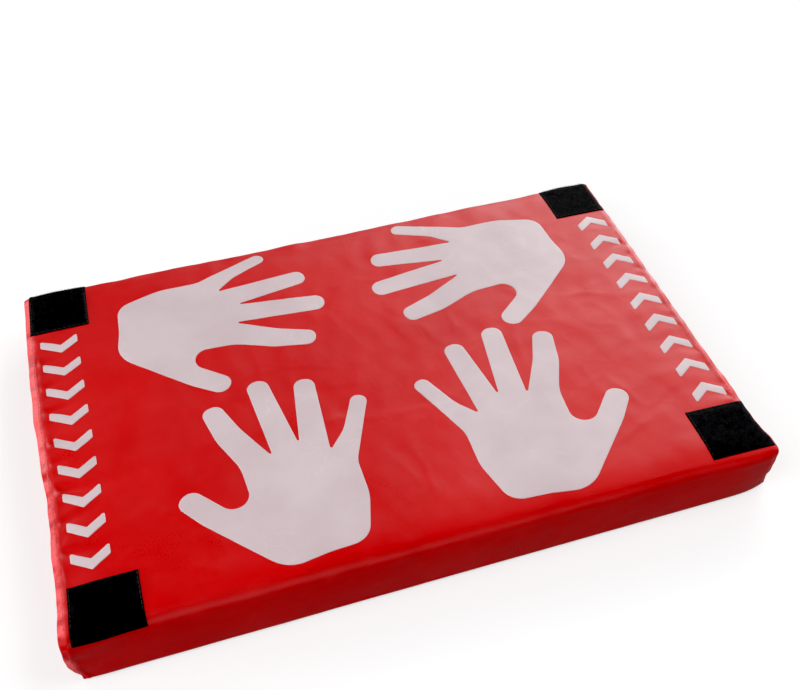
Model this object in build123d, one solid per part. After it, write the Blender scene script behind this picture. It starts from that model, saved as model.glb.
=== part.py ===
from build123d import *
import os

# A flat gymnastics training mat: a vinyl cover zipped over two laminated foam slabs, with four
# printed hands, a row of chevrons at each end and a hook-and-loop square in each corner.
# Millimetres. The origin is the centre of the footprint on the floor, +X runs along the long
# side, +Y points to the zipped long side and +Z up.

# ---- driving dimensions ----
LENGTH = 600.0
WIDTH = 400.0
HEIGHT = 50.0

SHEET = 0.8             # thickness of the coated fabric
TOP_ROUND = 11.0        # outer radius along the two long top edges
LOW_ROUND = 4.0         # outer radius along the two long bottom edges
LAP = 16.0              # width of the cover turned under the foam
FLANGE = 6.0            # how far the cover runs past the end panels
CORNER_EASE = 0.3       # extra radius of an inner corner over the one it nests in

BASE_SHEET = 1.2        # thickness of the anti-slip base panel
BASE_INSET = 6.0        # its edge, in from the long sides
BASE_END_INSET = 1.0    # its edge, in from the short sides
BASE_CORNER = 8.0
BASE_SEAM_INSET = 4.0   # its seam, in from its own edge
GROOVE_WIDTH = 1.0      # the seam sinks into the base by this much
GROOVE_DEPTH = 0.45

FIRM_FOAM = 15.0        # thickness of the upper foam slab
FOAM_GAP = 0.2          # slack between the foam and the cover

STITCH_PITCH = 4.5
STITCH_LENGTH = 3.4
STITCH_WIDTH = 0.6
STITCH_HEIGHT = 0.4

PRINT = 0.2             # thickness of the printed film

TAPE_LONG = 55.0        # hook-and-loop squares
TAPE_SHORT = 50.0
TAPE_BACKING = 0.8
TAPE_HOOKS = 1.2
TAPE_MARGIN = 2.6       # bare selvedge round the hooks, where the tape is sewn down
TAPE_WRAP = 6.0         # how far a square at a long edge may run down over it

# centre x and y, size along x and y, and turn in degrees of each square
SQUARES = {
    "back_left": (-271.0, 170.0, TAPE_SHORT, 57.0, -1.0),
    "back_right": (271.0, 174.5, TAPE_LONG, TAPE_SHORT, 0.5),
    "front_left": (-264.5, -177.0, TAPE_LONG, TAPE_SHORT + 2.0, 0.0),
    "front_right": (271.2, -164.0, TAPE_LONG + 1.0, TAPE_LONG - 1.0, -1.0),
}

CHEVRONS = 9
CHEVRON_REACH = 31.0    # across the strip
CHEVRON_STROKE = 10.5
CHEVRON_RISE = 11.0
STRIP_LENGTH = 272.0
STRIP_LEFT = (-273.0, -4.0, 0.8)
STRIP_RIGHT = (275.5, 7.5, 0.0)

# One printed hand, fingers along +Y and thumb on -X, from the middle of the palm: each corner of
# its outline and the radius that rounds it, from the heel of the thumb round by the little finger.
HAND = [
    (-35.3, -59.7, 30.0),
    (-1.3, -54.3, 60.0),
    (34.0, -52.3, 18.0),
    (45.7, -10.0, 60.0),
    (45.3, 27.3, 30.0),
    (73.3, 95.3, 7.0),
    (60.0, 101.7, 7.0),
    (42.7, 64.0, 40.0),
    (26.3, 45.0, 1.3),
    (32.1, 132.0, 9.0),
    (13.7, 134.0, 9.0),
    (2.2, 58.0, 1.0),
    (-10.0, 144.3, 9.4),
    (-29.3, 142.0, 9.4),
    (-22.3, 53.0, 1.1),
    (-43.3, 92.0, 80.0),
    (-56.3, 126.0, 8.8),
    (-73.8, 121.1, 8.8),
    (-66.0, 84.0, 50.0),
    (-51.3, 49.3, 50.0),
    (-47.3, -16.0, 13.0),
    (-95.0, 39.9, 10.0),
    (-111.1, 27.1, 10.0),
    (-91.3, 0.3, 70.0),
]

# where each palm's middle lies, the turn in degrees, and whether the hand is mirrored first
HANDS = {
    "back_left": (-166.0, 121.3, -90.0, True),
    "back_right": (170.0, 121.3, 90.0, False),
    "front_left": (-90.0, -126.7, 0.0, False),
    "front_right": (98.0, -126.7, 0.0, True),
}

ZIP_Z = 25.0            # height of the zipper on the back
ZIP_SLOT = 12.0         # height of the gap between the flaps it joins
ZIP_TAPE = 0.6
ZIP_TAPE_EDGE = 1.6     # inner edge of each tape, from the zipper's centre line
ZIP_TAPE_REACH = 13.5   # outer edge
ZIP_SEAM = 8.5          # the seam that holds each tape, from the centre line
TOOTH_PITCH = 3.0
TOOTH_WIDTH = 1.35
TOOTH_THICK = 2.2
TOOTH_CROSS = 0.8       # how far a closed tooth reaches past the centre line
TOOTH_REACH = 3.0       # its outer end
CHAIN_START = -264.0
CHAIN_END = 263.4
SLIDER_X = 262.0        # the slider's middle when the cover is closed
ZIP_TAB = 22.0          # length of the vinyl tab over each end of the zipper
ZIP_TAB_X = 281.5

# ---- derived ----
HALF_L = LENGTH / 2
HALF_W = WIDTH / 2
END_X = HALF_L - FLANGE                 # outer face of an end panel
TAPE_Y = HALF_W - SHEET - ZIP_TAPE / 2  # middle of the zipper tapes
BACK_FACE = HALF_W


def section(grow, low, top_ease=0.0):
    """The cover's outer section across the mat, grown by that much, from that height up."""
    top = HEIGHT + grow
    half = HALF_W + grow
    outline = Plane.YZ * Pos(0, (low + top) / 2) * Rectangle(2 * half, top - low)
    by_height = outline.vertices().sort_by(Axis.Z)
    rounded = fillet(by_height[2:], TOP_ROUND + grow + top_ease)
    return fillet(rounded.vertices().sort_by(Axis.Z)[:2], LOW_ROUND + grow + top_ease)


def run(outline, start, end):
    """A section of the mat carried along X."""
    return extrude(Pos(start, 0, 0) * outline, end - start, dir=(1, 0, 0))


def block(x0, x1, y0, y1, z0, z1):
    """A box between two corners."""
    middle = Pos((x0 + x1) / 2, (y0 + y1) / 2, (z0 + z1) / 2)
    return middle * Box(x1 - x0, y1 - y0, z1 - z0)


def write(name, shape):
    """Writes one node, as one solid or as a group of separate solids."""
    solids = shape.solids() if hasattr(shape, "solids") else [s for p in shape for s in p.solids()]
    body = solids[0] if len(solids) == 1 else Compound(children=list(solids))
    body.label = name
    export_step(body, f"parts/{name}.step")


# ---- cover ----
def cover_long_panels():
    """The sheet over front, top and back, and the strip below the zipper, cut from one tube."""
    outer = run(section(0, BASE_SHEET), -HALF_L, HALF_L)
    inner = run(section(-SHEET, BASE_SHEET + SHEET), -HALF_L - 1, HALF_L + 1)
    tube = outer - inner
    half_open = HALF_W - LAP
    tube -= block(-HALF_L - 1, HALF_L + 1, -half_open, half_open, 0, BASE_SHEET + 2 * SHEET)
    slot = ZIP_SLOT / 2
    tube -= block(-HALF_L - 1, HALF_L + 1, HALF_W - 5, HALF_W + 1, ZIP_Z - slot, ZIP_Z + slot)
    return tube.solids().sort_by(SortBy.VOLUME)


def end_panel(side):
    """A shallow tray: the end of the cover, with its edges turned outward inside the flange."""
    low = BASE_SHEET + SHEET
    outer = section(-SHEET, low, CORNER_EASE)
    inner = section(-2 * SHEET, low + SHEET, CORNER_EASE)
    rim = HALF_L - 0.4
    tray = run(outer, END_X - SHEET, rim) - run(inner, END_X, rim + 1)
    return tray if side > 0 else mirror(tray, Plane.YZ)


def base_outline(inset):
    """The base panel's outline, in from its own edge."""
    half_x = HALF_L - BASE_END_INSET - inset
    half_y = HALF_W - BASE_INSET - inset
    return RectangleRounded(2 * half_x, 2 * half_y, BASE_CORNER - inset)


def base_panel():
    """The anti-slip panel, with the groove that its seam pulls into it."""
    panel = extrude(base_outline(0), BASE_SHEET)
    seam = BASE_SEAM_INSET
    ring = base_outline(seam - GROOVE_WIDTH / 2) - base_outline(seam + GROOVE_WIDTH / 2)
    return panel - extrude(ring, GROOVE_DEPTH)


# ---- foam ----
def foam_slabs():
    """The firm upper slab and the softer lower one, relieved behind the zipper."""
    low = BASE_SHEET + SHEET
    half = END_X - SHEET - FOAM_GAP
    whole = run(section(-SHEET - FOAM_GAP, low, CORNER_EASE), -half, half)
    whole -= block(-half, half, TAPE_Y - ZIP_TAPE / 2 - FOAM_GAP, HALF_W, 0, HEIGHT)
    split = HEIGHT - SHEET - FOAM_GAP - FIRM_FOAM
    upper = whole & block(-half, half, -HALF_W, HALF_W, split, HEIGHT)
    lower = whole & block(-half, half, -HALF_W, HALF_W, low, split)
    relief = ZIP_SLOT / 2 + 1.5
    behind = BACK_FACE - 4.6
    lower -= block(-half, half, behind, HALF_W, ZIP_Z - relief, ZIP_Z + relief)
    return upper, lower


# ---- stitches ----
def row(start, end):
    """The middles of the stitches of a straight seam, evenly spaced from one end to the other."""
    start, end = Vector(start), Vector(end)
    count = max(2, round((end - start).length / STITCH_PITCH))
    return [start + (end - start) * ((i + 0.5) / count) for i in range(count)]


def stitches(start, end, out):
    """One seam's stitches, lying on a face whose outward normal is out."""
    along = (Vector(end) - Vector(start)).normalized()
    lift = Vector(out) * (STITCH_HEIGHT / 2)
    bar = Box(STITCH_LENGTH, STITCH_WIDTH, STITCH_HEIGHT)
    return [Plane(p + lift, x_dir=along, z_dir=out) * bar for p in row(start, end)]


def under_square(point):
    """True where a hook square covers that point of the top."""
    reach = STITCH_LENGTH / 2 + 1
    return any(
        abs(point.X - x) < size_x / 2 + 1 and abs(point.Y - y) < size_y / 2 + reach
        for x, y, size_x, size_y, _ in SQUARES.values()
    )


def end_thread(side):
    """The seam through an end flange: up the front, over the top and down the back."""
    x = side * (HALF_L - FLANGE / 2)
    flat = HALF_W - TOP_ROUND - 1
    high = HEIGHT - TOP_ROUND - 1
    low = BASE_SHEET + LOW_ROUND + 1
    slot = ZIP_SLOT / 2 + 1.5
    made = stitches((x, -HALF_W, low), (x, -HALF_W, high), (0, -1, 0))
    over = stitches((x, -flat, HEIGHT), (x, flat, HEIGHT), (0, 0, 1))
    made += [s for s in over if side < 0 or not under_square(s.center())]
    made += stitches((x, HALF_W, ZIP_Z + slot), (x, HALF_W, high), (0, 1, 0))
    made += stitches((x, HALF_W, low), (x, HALF_W, ZIP_Z - slot), (0, 1, 0))
    return made


def base_thread():
    """The seam round the base panel, sunk in its groove."""
    half_x = HALF_L - BASE_END_INSET - BASE_SEAM_INSET
    half_y = HALF_W - BASE_INSET - BASE_SEAM_INSET
    clear = BASE_CORNER
    made = []
    for side in (-1, 1):
        y = side * half_y
        x = side * half_x
        run_x = half_x - clear
        run_y = half_y - clear
        made += stitches((-run_x, y, GROOVE_DEPTH), (run_x, y, GROOVE_DEPTH), (0, 0, -1))
        made += stitches((x, -run_y, GROOVE_DEPTH), (x, run_y, GROOVE_DEPTH), (0, 0, -1))
    return made


def zip_thread():
    """The two seams that hold the zipper tapes, and the square seam round each end tab."""
    made = []
    stop = ZIP_TAB_X - ZIP_TAB / 2 - 1
    high = ZIP_SEAM + 2
    for side in (-1, 1):
        z = ZIP_Z + side * ZIP_SEAM
        made += stitches((-stop, BACK_FACE, z), (stop, BACK_FACE, z), (0, 1, 0))
        face = BACK_FACE + SHEET
        inner = side * (ZIP_TAB_X - ZIP_TAB / 2 + 2)
        outer = side * (ZIP_TAB_X + ZIP_TAB / 2 - 2)
        for x in (inner, outer):
            made += stitches((x, face, ZIP_Z - high + 1), (x, face, ZIP_Z + high - 1), (0, 1, 0))
        for z in (ZIP_Z - high, ZIP_Z + high):
            ends = sorted((inner, outer))
            made += stitches((ends[0] + 1, face, z), (ends[1] - 1, face, z), (0, 1, 0))
    return made


# ---- hook-and-loop squares ----
def over_top(x, y, size_x, size_y, turn, under, over):
    """A patch of the skin between two heights over the cover, cut to a turned rectangle."""
    skin = run(section(over, 0), -HALF_L, HALF_L) - run(section(under, -1), -HALF_L, HALF_L)
    window = Pos(x, y, HEIGHT) * Rot(0, 0, turn) * Box(size_x, size_y, 2 * TAPE_WRAP)
    return skin & window


def hook_square(x, y, size_x, size_y, turn):
    """A square of hook tape: its backing, and the field of hooks inside a bare margin."""
    backing = over_top(x, y, size_x, size_y, turn, 0, TAPE_BACKING)
    bare = 2 * TAPE_MARGIN
    hooks = TAPE_BACKING + TAPE_HOOKS
    field = over_top(x, y, size_x - bare, size_y - bare, turn, TAPE_BACKING, hooks)
    return backing + field


def square_thread(x, y, size_x, size_y, turn):
    """The seam in the margin of a hook square, along the sides that lie flat on the top."""
    place = Pos(x, y, HEIGHT + TAPE_BACKING) * Rot(0, 0, turn)
    half_x = (size_x - TAPE_MARGIN) / 2
    half_y = (size_y - TAPE_MARGIN) / 2
    flat = HALF_W - TOP_ROUND - 1
    lowest = max(-half_y, -flat - y)
    highest = min(half_y, flat - y)
    made = []
    for side in (-half_x, half_x):
        made += stitches((side, lowest, 0), (side, highest, 0), (0, 0, 1))
    for across in (-half_y, half_y):
        if lowest <= across <= highest:
            made += stitches((1 - half_x, across, 0), (half_x - 1, across, 0), (0, 0, 1))
    return [place * s for s in made]


# ---- prints ----
def hand_print(x, y, turn, mirrored):
    """One hand, as a thin film on the top of the cover."""
    corners = [(px, py) for px, py, _ in HAND]
    radii = [r for _, _, r in HAND]
    outline = make_face(FilletPolyline(*corners, radius=radii, close=True).edges())
    film = extrude(outline, PRINT, dir=(0, 0, 1))
    if mirrored:
        film = mirror(film, Plane.YZ)
    return Pos(x, y, HEIGHT) * Rot(0, 0, turn) * film


def chevron_strip(x, y, turn, direction):
    """A row of chevrons that point along the mat's short side."""
    half = CHEVRON_REACH / 2
    points = [
        (-half, 0),
        (0, CHEVRON_RISE),
        (half, 0),
        (half, CHEVRON_STROKE),
        (0, CHEVRON_RISE + CHEVRON_STROKE),
        (-half, CHEVRON_STROKE),
    ]
    mark = make_face(Polyline(*points, close=True).edges())
    mark = fillet(mark.vertices(), 1.2)
    film = extrude(mark, PRINT, dir=(0, 0, 1))
    long = CHEVRON_RISE + CHEVRON_STROKE
    step = (STRIP_LENGTH - long) / (CHEVRONS - 1)
    strip = [Pos(0, i * step - STRIP_LENGTH / 2, 0) * film for i in range(CHEVRONS)]
    place = Pos(x, y, HEIGHT) * Rot(0, 0, turn + (0 if direction > 0 else 180))
    return [place * f for f in strip]


# ---- zipper ----
def zip_tape(side):
    """One woven tape of the zipper, from end panel to end panel."""
    half = END_X - SHEET - FOAM_GAP
    low, high = sorted((ZIP_Z + side * ZIP_TAPE_EDGE, ZIP_Z + side * ZIP_TAPE_REACH))
    return block(-half, half, TAPE_Y - ZIP_TAPE / 2, TAPE_Y + ZIP_TAPE / 2, low, high)


def on_tape(side, x0, x1, inner, outer, thick):
    """A moulded block clamped on a tape's edge, from one distance off the centre to another."""
    low, high = sorted((ZIP_Z + side * inner, ZIP_Z + side * outer))
    whole = block(x0, x1, TAPE_Y - thick / 2, TAPE_Y + thick / 2, low, high)
    low, high = sorted((ZIP_Z + side * ZIP_TAPE_EDGE, ZIP_Z + side * (outer + 1)))
    return whole - block(x0 - 1, x1 + 1, TAPE_Y - ZIP_TAPE / 2, TAPE_Y + ZIP_TAPE / 2, low, high)


def zip_teeth(side):
    """One row of teeth, half a pitch from the other row so that the two mesh."""
    first = CHAIN_START + (0 if side > 0 else TOOTH_PITCH / 2)
    count = int((CHAIN_END - first) / TOOTH_PITCH)
    tooth = on_tape(side, 0, TOOTH_WIDTH, -TOOTH_CROSS, TOOTH_REACH, TOOTH_THICK)
    return [Pos(first + i * TOOTH_PITCH, 0, 0) * tooth for i in range(count)]


def top_stops():
    """The small stop on each tape that the slider closes against."""
    start = SLIDER_X + 5.7
    made = [on_tape(side, start, start + 2.2, 1.0, 3.4, 2.6) for side in (-1, 1)]
    return made


def bottom_stop():
    """The block that joins the two tapes where the zipper opens last."""
    x0 = CHAIN_START - 3.2
    whole = block(x0, CHAIN_START - 0.3, TAPE_Y - 1.3, TAPE_Y + 1.3, ZIP_Z - 3.4, ZIP_Z + 3.4)
    for side in (-1, 1):
        whole -= zip_tape(side)
    return whole


def zip_tab(side):
    """The vinyl tab sewn over one end of the zipper."""
    high = 2 * (ZIP_SEAM + 4)
    plate = extrude(RectangleRounded(ZIP_TAB, high, 2.5), SHEET)
    return Pos(side * ZIP_TAB_X, BACK_FACE + SHEET, ZIP_Z) * Rot(90, 0, 0) * plate


SLIDER_LENGTH = 10.4
SLIDER_MOUTH = 9.4      # width where the two rows part
SLIDER_THROAT = 8.2     # width where they are joined
PLATE = 1.0
PLATE_GAP = TOOTH_THICK + 0.4
PLATE_FACE = TAPE_Y + PLATE_GAP / 2 + PLATE
TAPE_SLIT = 1.0
SIDE_WALL = 0.8
BRIDGE = 2.2
CROWN_WIDTH = 1.8
CROWN_LENGTH = 6.0
CROWN_WALL = 0.8
PULL_BAR = 1.3
PULL_ROOM = 0.3         # play of the pull's bar in the crown
PULL_LENGTH = 20.0
PULL_WIDTH = 8.0
PULL_THICK = 1.2
CROWN_ROOM = PULL_BAR + 2 * PULL_ROOM
HINGE_Y = PLATE_FACE + CROWN_ROOM / 2


def slider_outline(inset):
    """The slider's plate seen from outside: wide at the mouth, narrower where the rows join."""
    mouth = SLIDER_MOUTH / 2 - inset
    throat = SLIDER_THROAT / 2 - inset
    half = SLIDER_LENGTH / 2
    points = [(-half, -throat), (half, -mouth), (half, mouth), (-half, throat)]
    return make_face(Polyline(*points, close=True).edges())


def slider_body():
    """Two plates with turned-in side walls, joined by the bridge that parts the teeth."""
    deep = PLATE_GAP + 2 * PLATE
    outline = fillet(slider_outline(0).vertices(), 1.2)
    whole = extrude(outline, deep / 2, both=True, dir=(0, 0, 1))
    channel = extrude(slider_outline(SIDE_WALL), PLATE_GAP / 2, both=True, dir=(0, 0, 1))
    long = SLIDER_LENGTH + 2
    open_ends = Box(long, 2 * (TOOTH_REACH + 0.3), PLATE_GAP)
    slit = Box(long, SLIDER_MOUTH + 2, TAPE_SLIT)
    bridge = Pos(SLIDER_LENGTH / 2 - BRIDGE / 2 - 0.6, 0, 0) * Cylinder(BRIDGE / 2, deep)
    body = whole - channel - open_ends - slit + bridge
    return Pos(SLIDER_X, TAPE_Y, ZIP_Z) * Rot(-90, 0, 0) * body


def slider_crown():
    """The arch on the slider's face that holds the pull."""
    half = CROWN_LENGTH / 2
    high = CROWN_ROOM + CROWN_WALL
    outer = Pos(0, high / 2) * Rectangle(CROWN_LENGTH, high)
    outer = fillet(outer.vertices().sort_by(Axis.Y)[-2:], 1.4)
    inner = Pos(0, CROWN_ROOM / 2 - 0.5) * Rectangle(2 * (half - CROWN_WALL), CROWN_ROOM + 1)
    inner = fillet(inner.vertices().sort_by(Axis.Y)[-2:], 0.7)
    arch = extrude(outer - inner, CROWN_WIDTH / 2, both=True, dir=(0, 0, 1))
    return Pos(SLIDER_X, PLATE_FACE, ZIP_Z) * arch


def pull_tab():
    """The pull: a bar under the crown, two arms and a plate with a hole, one casting."""
    arm_in = CROWN_WIDTH / 2 + 0.4
    arm_out = PULL_WIDTH / 2 - 1.0
    reach = CROWN_LENGTH / 2 + 1.2
    plate = Pos(reach + PULL_LENGTH / 2, 0) * RectangleRounded(PULL_LENGTH, PULL_WIDTH, 3.0)
    hole = Pos(reach + PULL_LENGTH - 5.2, 0) * RectangleRounded(5.6, 3.6, 1.7)
    flat = plate - hole
    for side in (-1, 1):
        arm = Pos((reach + 2) / 2, side * (arm_in + arm_out) / 2)
        flat += arm * Rectangle(reach + 2, arm_out - arm_in)
    tab = extrude(flat, PULL_THICK / 2, both=True, dir=(0, 0, 1))
    bar = Rot(90, 0, 0) * Cylinder(PULL_BAR / 2, 2 * arm_out)
    return Pos(SLIDER_X, HINGE_Y, ZIP_Z) * Rot(-90, 0, 0) * (tab + bar)


# ---- the whole mat ----
os.makedirs("parts", exist_ok=True)

strip, wrap = cover_long_panels()
write("cover_wrap", wrap)
write("cover_back_strip", strip)
write("cover_end_left", end_panel(-1))
write("cover_end_right", end_panel(1))
write("cover_base", base_panel())

upper_slab, lower_slab = foam_slabs()
write("foam_upper", upper_slab)
write("foam_lower", lower_slab)

write("end_seam_thread_left", end_thread(-1))
write("end_seam_thread_right", end_thread(1))
write("base_seam_thread", base_thread())
write("zip_seam_thread", zip_thread())

for corner, place in SQUARES.items():
    write(f"hook_patch_{corner}", hook_square(*place))
    write(f"patch_thread_{corner}", square_thread(*place))

for corner, place in HANDS.items():
    write(f"hand_print_{corner}", hand_print(*place))

write("marking_strip_left", chevron_strip(*STRIP_LEFT, -1))
write("marking_strip_right", chevron_strip(*STRIP_RIGHT, 1))

for level, side in (("upper", 1), ("lower", -1)):
    write(f"zip_tape_{level}", zip_tape(side))
    write(f"zip_teeth_{level}", zip_teeth(side))
write("zip_top_stops", top_stops())
write("zip_bottom_stop", bottom_stop())
write("zip_end_tab_left", zip_tab(-1))
write("zip_end_tab_right", zip_tab(1))

write("slider_body", slider_body())
write("slider_crown", slider_crown())
write("pull_tab", pull_tab())
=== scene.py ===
"""The visual model of a small gymnastics mat: a red vinyl pad with printed hands, hook-tape squares
and a zipper along the back. Metres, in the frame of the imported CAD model."""
import math

import bmesh
import bpy
import numpy as np
from mathutils import Matrix, Vector
from mathutils.bvhtree import BVHTree
from mathutils.geometry import delaunay_2d_cdt


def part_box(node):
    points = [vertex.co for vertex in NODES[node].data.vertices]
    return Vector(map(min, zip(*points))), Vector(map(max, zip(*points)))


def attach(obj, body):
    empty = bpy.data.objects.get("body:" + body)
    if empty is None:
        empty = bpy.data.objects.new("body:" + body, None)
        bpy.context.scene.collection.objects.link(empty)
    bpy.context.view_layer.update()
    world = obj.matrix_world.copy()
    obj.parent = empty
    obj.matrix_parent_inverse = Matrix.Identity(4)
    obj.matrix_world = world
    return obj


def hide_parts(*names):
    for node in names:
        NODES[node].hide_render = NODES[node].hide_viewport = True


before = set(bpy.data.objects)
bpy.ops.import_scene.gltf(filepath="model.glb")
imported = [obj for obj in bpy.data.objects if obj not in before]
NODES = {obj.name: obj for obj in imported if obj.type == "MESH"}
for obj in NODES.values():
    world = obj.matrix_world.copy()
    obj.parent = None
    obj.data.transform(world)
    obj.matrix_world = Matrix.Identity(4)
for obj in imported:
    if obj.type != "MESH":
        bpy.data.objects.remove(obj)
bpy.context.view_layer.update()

MM = 0.001

# ---- sizes read from the frame, and those of the cover's section ----
wrap_low, wrap_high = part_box("cover_wrap")
HALF_L = wrap_high.x
HALF_W = wrap_high.y
HEIGHT = wrap_high.z
LOW = wrap_low.z
TOP_ROUND = 11 * MM
LOW_ROUND = 4 * MM
SHEET = 0.8 * MM
FLANGE = 6 * MM
LAP = 16 * MM
PANEL_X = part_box("foam_lower")[1].x + 1 * MM
BACK_HEM = 31 * MM
STRIP_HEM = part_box("cover_back_strip")[1].z
ZIP_Z = (BACK_HEM + STRIP_HEM) / 2


# ---- the cover's section, from the middle of the underside round by the front ----
def section_parts():
    flat_low = HALF_W - LOW_ROUND
    flat_top = HALF_W - TOP_ROUND
    side_low = LOW + LOW_ROUND
    side_high = HEIGHT - TOP_ROUND
    return [
        ("line", (0, LOW), (-flat_low, LOW)),
        ("arc", (-flat_low, side_low), LOW_ROUND, 270, 180),
        ("line", (-HALF_W, side_low), (-HALF_W, side_high)),
        ("arc", (-flat_top, side_high), TOP_ROUND, 180, 90),
        ("line", (-flat_top, HEIGHT), (flat_top, HEIGHT)),
        ("arc", (flat_top, side_high), TOP_ROUND, 90, 0),
        ("line", (HALF_W, side_high), (HALF_W, side_low)),
        ("arc", (flat_low, side_low), LOW_ROUND, 0, -90),
        ("line", (flat_low, LOW), (0, LOW)),
    ]


PARTS = section_parts()


def part_length(part):
    if part[0] == "line":
        return math.dist(part[1], part[2])
    return part[2] * math.radians(abs(part[4] - part[3]))


STARTS = np.concatenate([[0], np.cumsum([part_length(p) for p in PARTS])])
AROUND = STARTS[-1]


def along_part(part, t):
    """Points and outward normals at fractions t of one line or arc."""
    if part[0] == "line":
        a, b = np.array(part[1]), np.array(part[2])
        d = (b - a) / np.linalg.norm(b - a)
        points = a + t[..., None] * (b - a)
        return points, np.broadcast_to([-d[1], d[0]], points.shape)
    angle = np.radians(part[3] + t * (part[4] - part[3]))
    n = np.stack([np.cos(angle), np.sin(angle)], -1)
    return np.array(part[1]) + part[2] * n, n


def section_at(s):
    """Point and outward normal (y, z, ny, nz) of the plain section at arc lengths s."""
    s = np.asarray(s, float) % AROUND
    out = np.zeros(s.shape + (4,))
    for part, start, end in zip(PARTS, STARTS, STARTS[1:]):
        here = (s >= start - 1e-12) & (s <= end)
        out[here] = np.concatenate(along_part(part, (s[here] - start) / (end - start)), -1)
    return out


def unroll(y, z):
    """Arc length and height over the plain section of points (y, z) near it."""
    q = np.stack([np.asarray(y, float), np.asarray(z, float)], -1)
    best = np.full(q.shape[:-1], 1e9)
    s = np.zeros_like(best)
    h = np.zeros_like(best)
    for part, start, end in zip(PARTS, STARTS, STARTS[1:]):
        if part[0] == "line":
            a, b = np.array(part[1]), np.array(part[2])
            t = np.clip((q - a) @ (b - a) / (end - start) ** 2, 0, 1)
        else:
            v = q - np.array(part[1])
            low, high = sorted((part[3], part[4]))
            angle = low + (np.degrees(np.arctan2(v[..., 1], v[..., 0])) - low) % 360
            angle = np.where(angle > high + (360 - high + low) / 2, low, np.minimum(angle, high))
            t = np.abs(angle - part[3]) / (high - low)
        foot, n = along_part(part, t)
        gap = np.linalg.norm(q - foot, axis=-1)
        closer = gap < best - 1e-9
        best = np.where(closer, gap, best)
        s = np.where(closer, start + t * (end - start), s)
        h = np.where(closer, ((q - foot) * n).sum(-1), h)
    return s, h


TOP_FRONT = STARTS[4]
TOP_BACK = STARTS[5]


def top_s(y):
    """Arc length of a place on the flat of the top."""
    return TOP_FRONT + (np.asarray(y) + HALF_W - TOP_ROUND)


# ---- the grid that carries the cover's form ----
def stretch(points, steps):
    """Knots along a line: each stretch between two points is divided by its own step."""
    knots = [points[0]]
    for a, b, step in zip(points, points[1:], steps):
        count = max(1, round((b - a) / step))
        knots += [a + (b - a) * (i + 1) / count for i in range(count)]
    return np.array(knots)


BACK_HIGH = STARTS[6] + (HEIGHT - TOP_ROUND - BACK_HEM)
BACK_LOW = STARTS[6] + (HEIGHT - TOP_ROUND - STRIP_HEM)
LAP_FRONT = HALF_W - LAP
LAP_BACK = AROUND - LAP_FRONT
STOPS = [0, LAP_FRONT, *STARTS[1:7], BACK_HIGH, BACK_LOW, *STARTS[7:9], LAP_BACK, AROUND]
STEPS = np.array([20, 3, 1.3, 2.6, 1.5, 2.8, 1.5, 1.4, 2, 2, 1.3, 3, 20]) * MM
S = stretch(STOPS, STEPS)
END_KNOTS = np.array([0, 0.3, 0.8, 1.4, 2.1, 2.8, 3.5, 4.2, 4.8, 5.4, 6, 6.6, 7.3, 8.2, 9.4, 11,
                      13]) * MM
EVEN_FROM = 15.6 * MM
MIDDLE = np.linspace(-HALF_L + EVEN_FROM, HALF_L - EVEN_FROM, 197)
X = np.concatenate([-HALF_L + END_KNOTS, MIDDLE, (HALF_L - END_KNOTS)[::-1]])


def ripple(a, b, seed, shortest, longest, count=14):
    """Smooth irregular waves of about unit size over two coordinates in metres."""
    draw = np.random.default_rng(seed)
    total = np.zeros(np.broadcast(a, b).shape)
    for _ in range(count):
        turn = draw.uniform(0, math.tau)
        k = math.tau / draw.uniform(shortest, longest)
        phase = draw.uniform(0, math.tau)
        total = total + np.cos(k * (a * math.cos(turn) + b * math.sin(turn)) + phase)
    return total / math.sqrt(count / 2)


def ease(v, start, end):
    """Rises smoothly from 0 to 1."""
    t = np.clip((v - start) / (end - start), 0, 1)
    return t * t * (3 - 2 * t)


def hump(v, middle, width):
    """A smooth rise of height 1 about a middle."""
    return np.exp(-((v - middle) / width) ** 2)


def unit(v):
    return v / np.linalg.norm(v, axis=-1, keepdims=True)


def blur(field, rounds):
    """Averages a grid with its neighbours, several times."""
    for _ in range(rounds):
        padded = np.pad(field, 1, mode="edge")
        field = (padded[1:-1, :-2] + padded[1:-1, 2:] + padded[:-2, 1:-1] + padded[2:, 1:-1]
                 + 2 * padded[1:-1, 1:-1]) / 6
    return field


# ---- cloth simulation of the stuffed cover ----
VOXEL = 6 * MM
PRESSURE = 3.0
SLACK = -0.005          # negative shrink: the cover is cut a little larger than the foam
FRAMES = 20


def prism():
    """The plain pad as one closed mesh, between the two end seams."""
    s = np.unique(np.concatenate([STARTS[:-1], np.linspace(STARTS[3], TOP_FRONT, 7),
                                  np.linspace(TOP_BACK, STARTS[6], 7)]))
    ring = section_at(s)[:, :2]
    half = HALF_L - FLANGE
    bm = bmesh.new()
    left = [bm.verts.new((-half, y, z)) for y, z in ring]
    right = [bm.verts.new((half, y, z)) for y, z in ring]
    bm.faces.new(left)
    bm.faces.new(right[::-1])
    for i in range(len(ring)):
        j = (i + 1) % len(ring)
        bm.faces.new((left[i], right[i], right[j], left[j]))
    bmesh.ops.recalc_face_normals(bm, faces=bm.faces)
    mesh = bpy.data.meshes.new("pad_form")
    bm.to_mesh(mesh)
    bm.free()
    return mesh


def linked(name, data):
    """A new object in the scene."""
    obj = bpy.data.objects.new(name, data)
    bpy.context.scene.collection.objects.link(obj)
    return obj


def positions(mesh):
    out = np.zeros(3 * len(mesh.vertices))
    mesh.vertices.foreach_get("co", out)
    return out.reshape(-1, 3)


def evaluated(obj):
    """A new mesh of the object with its modifiers applied."""
    graph = bpy.context.evaluated_depsgraph_get()
    return bpy.data.meshes.new_from_object(obj.evaluated_get(graph))


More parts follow.
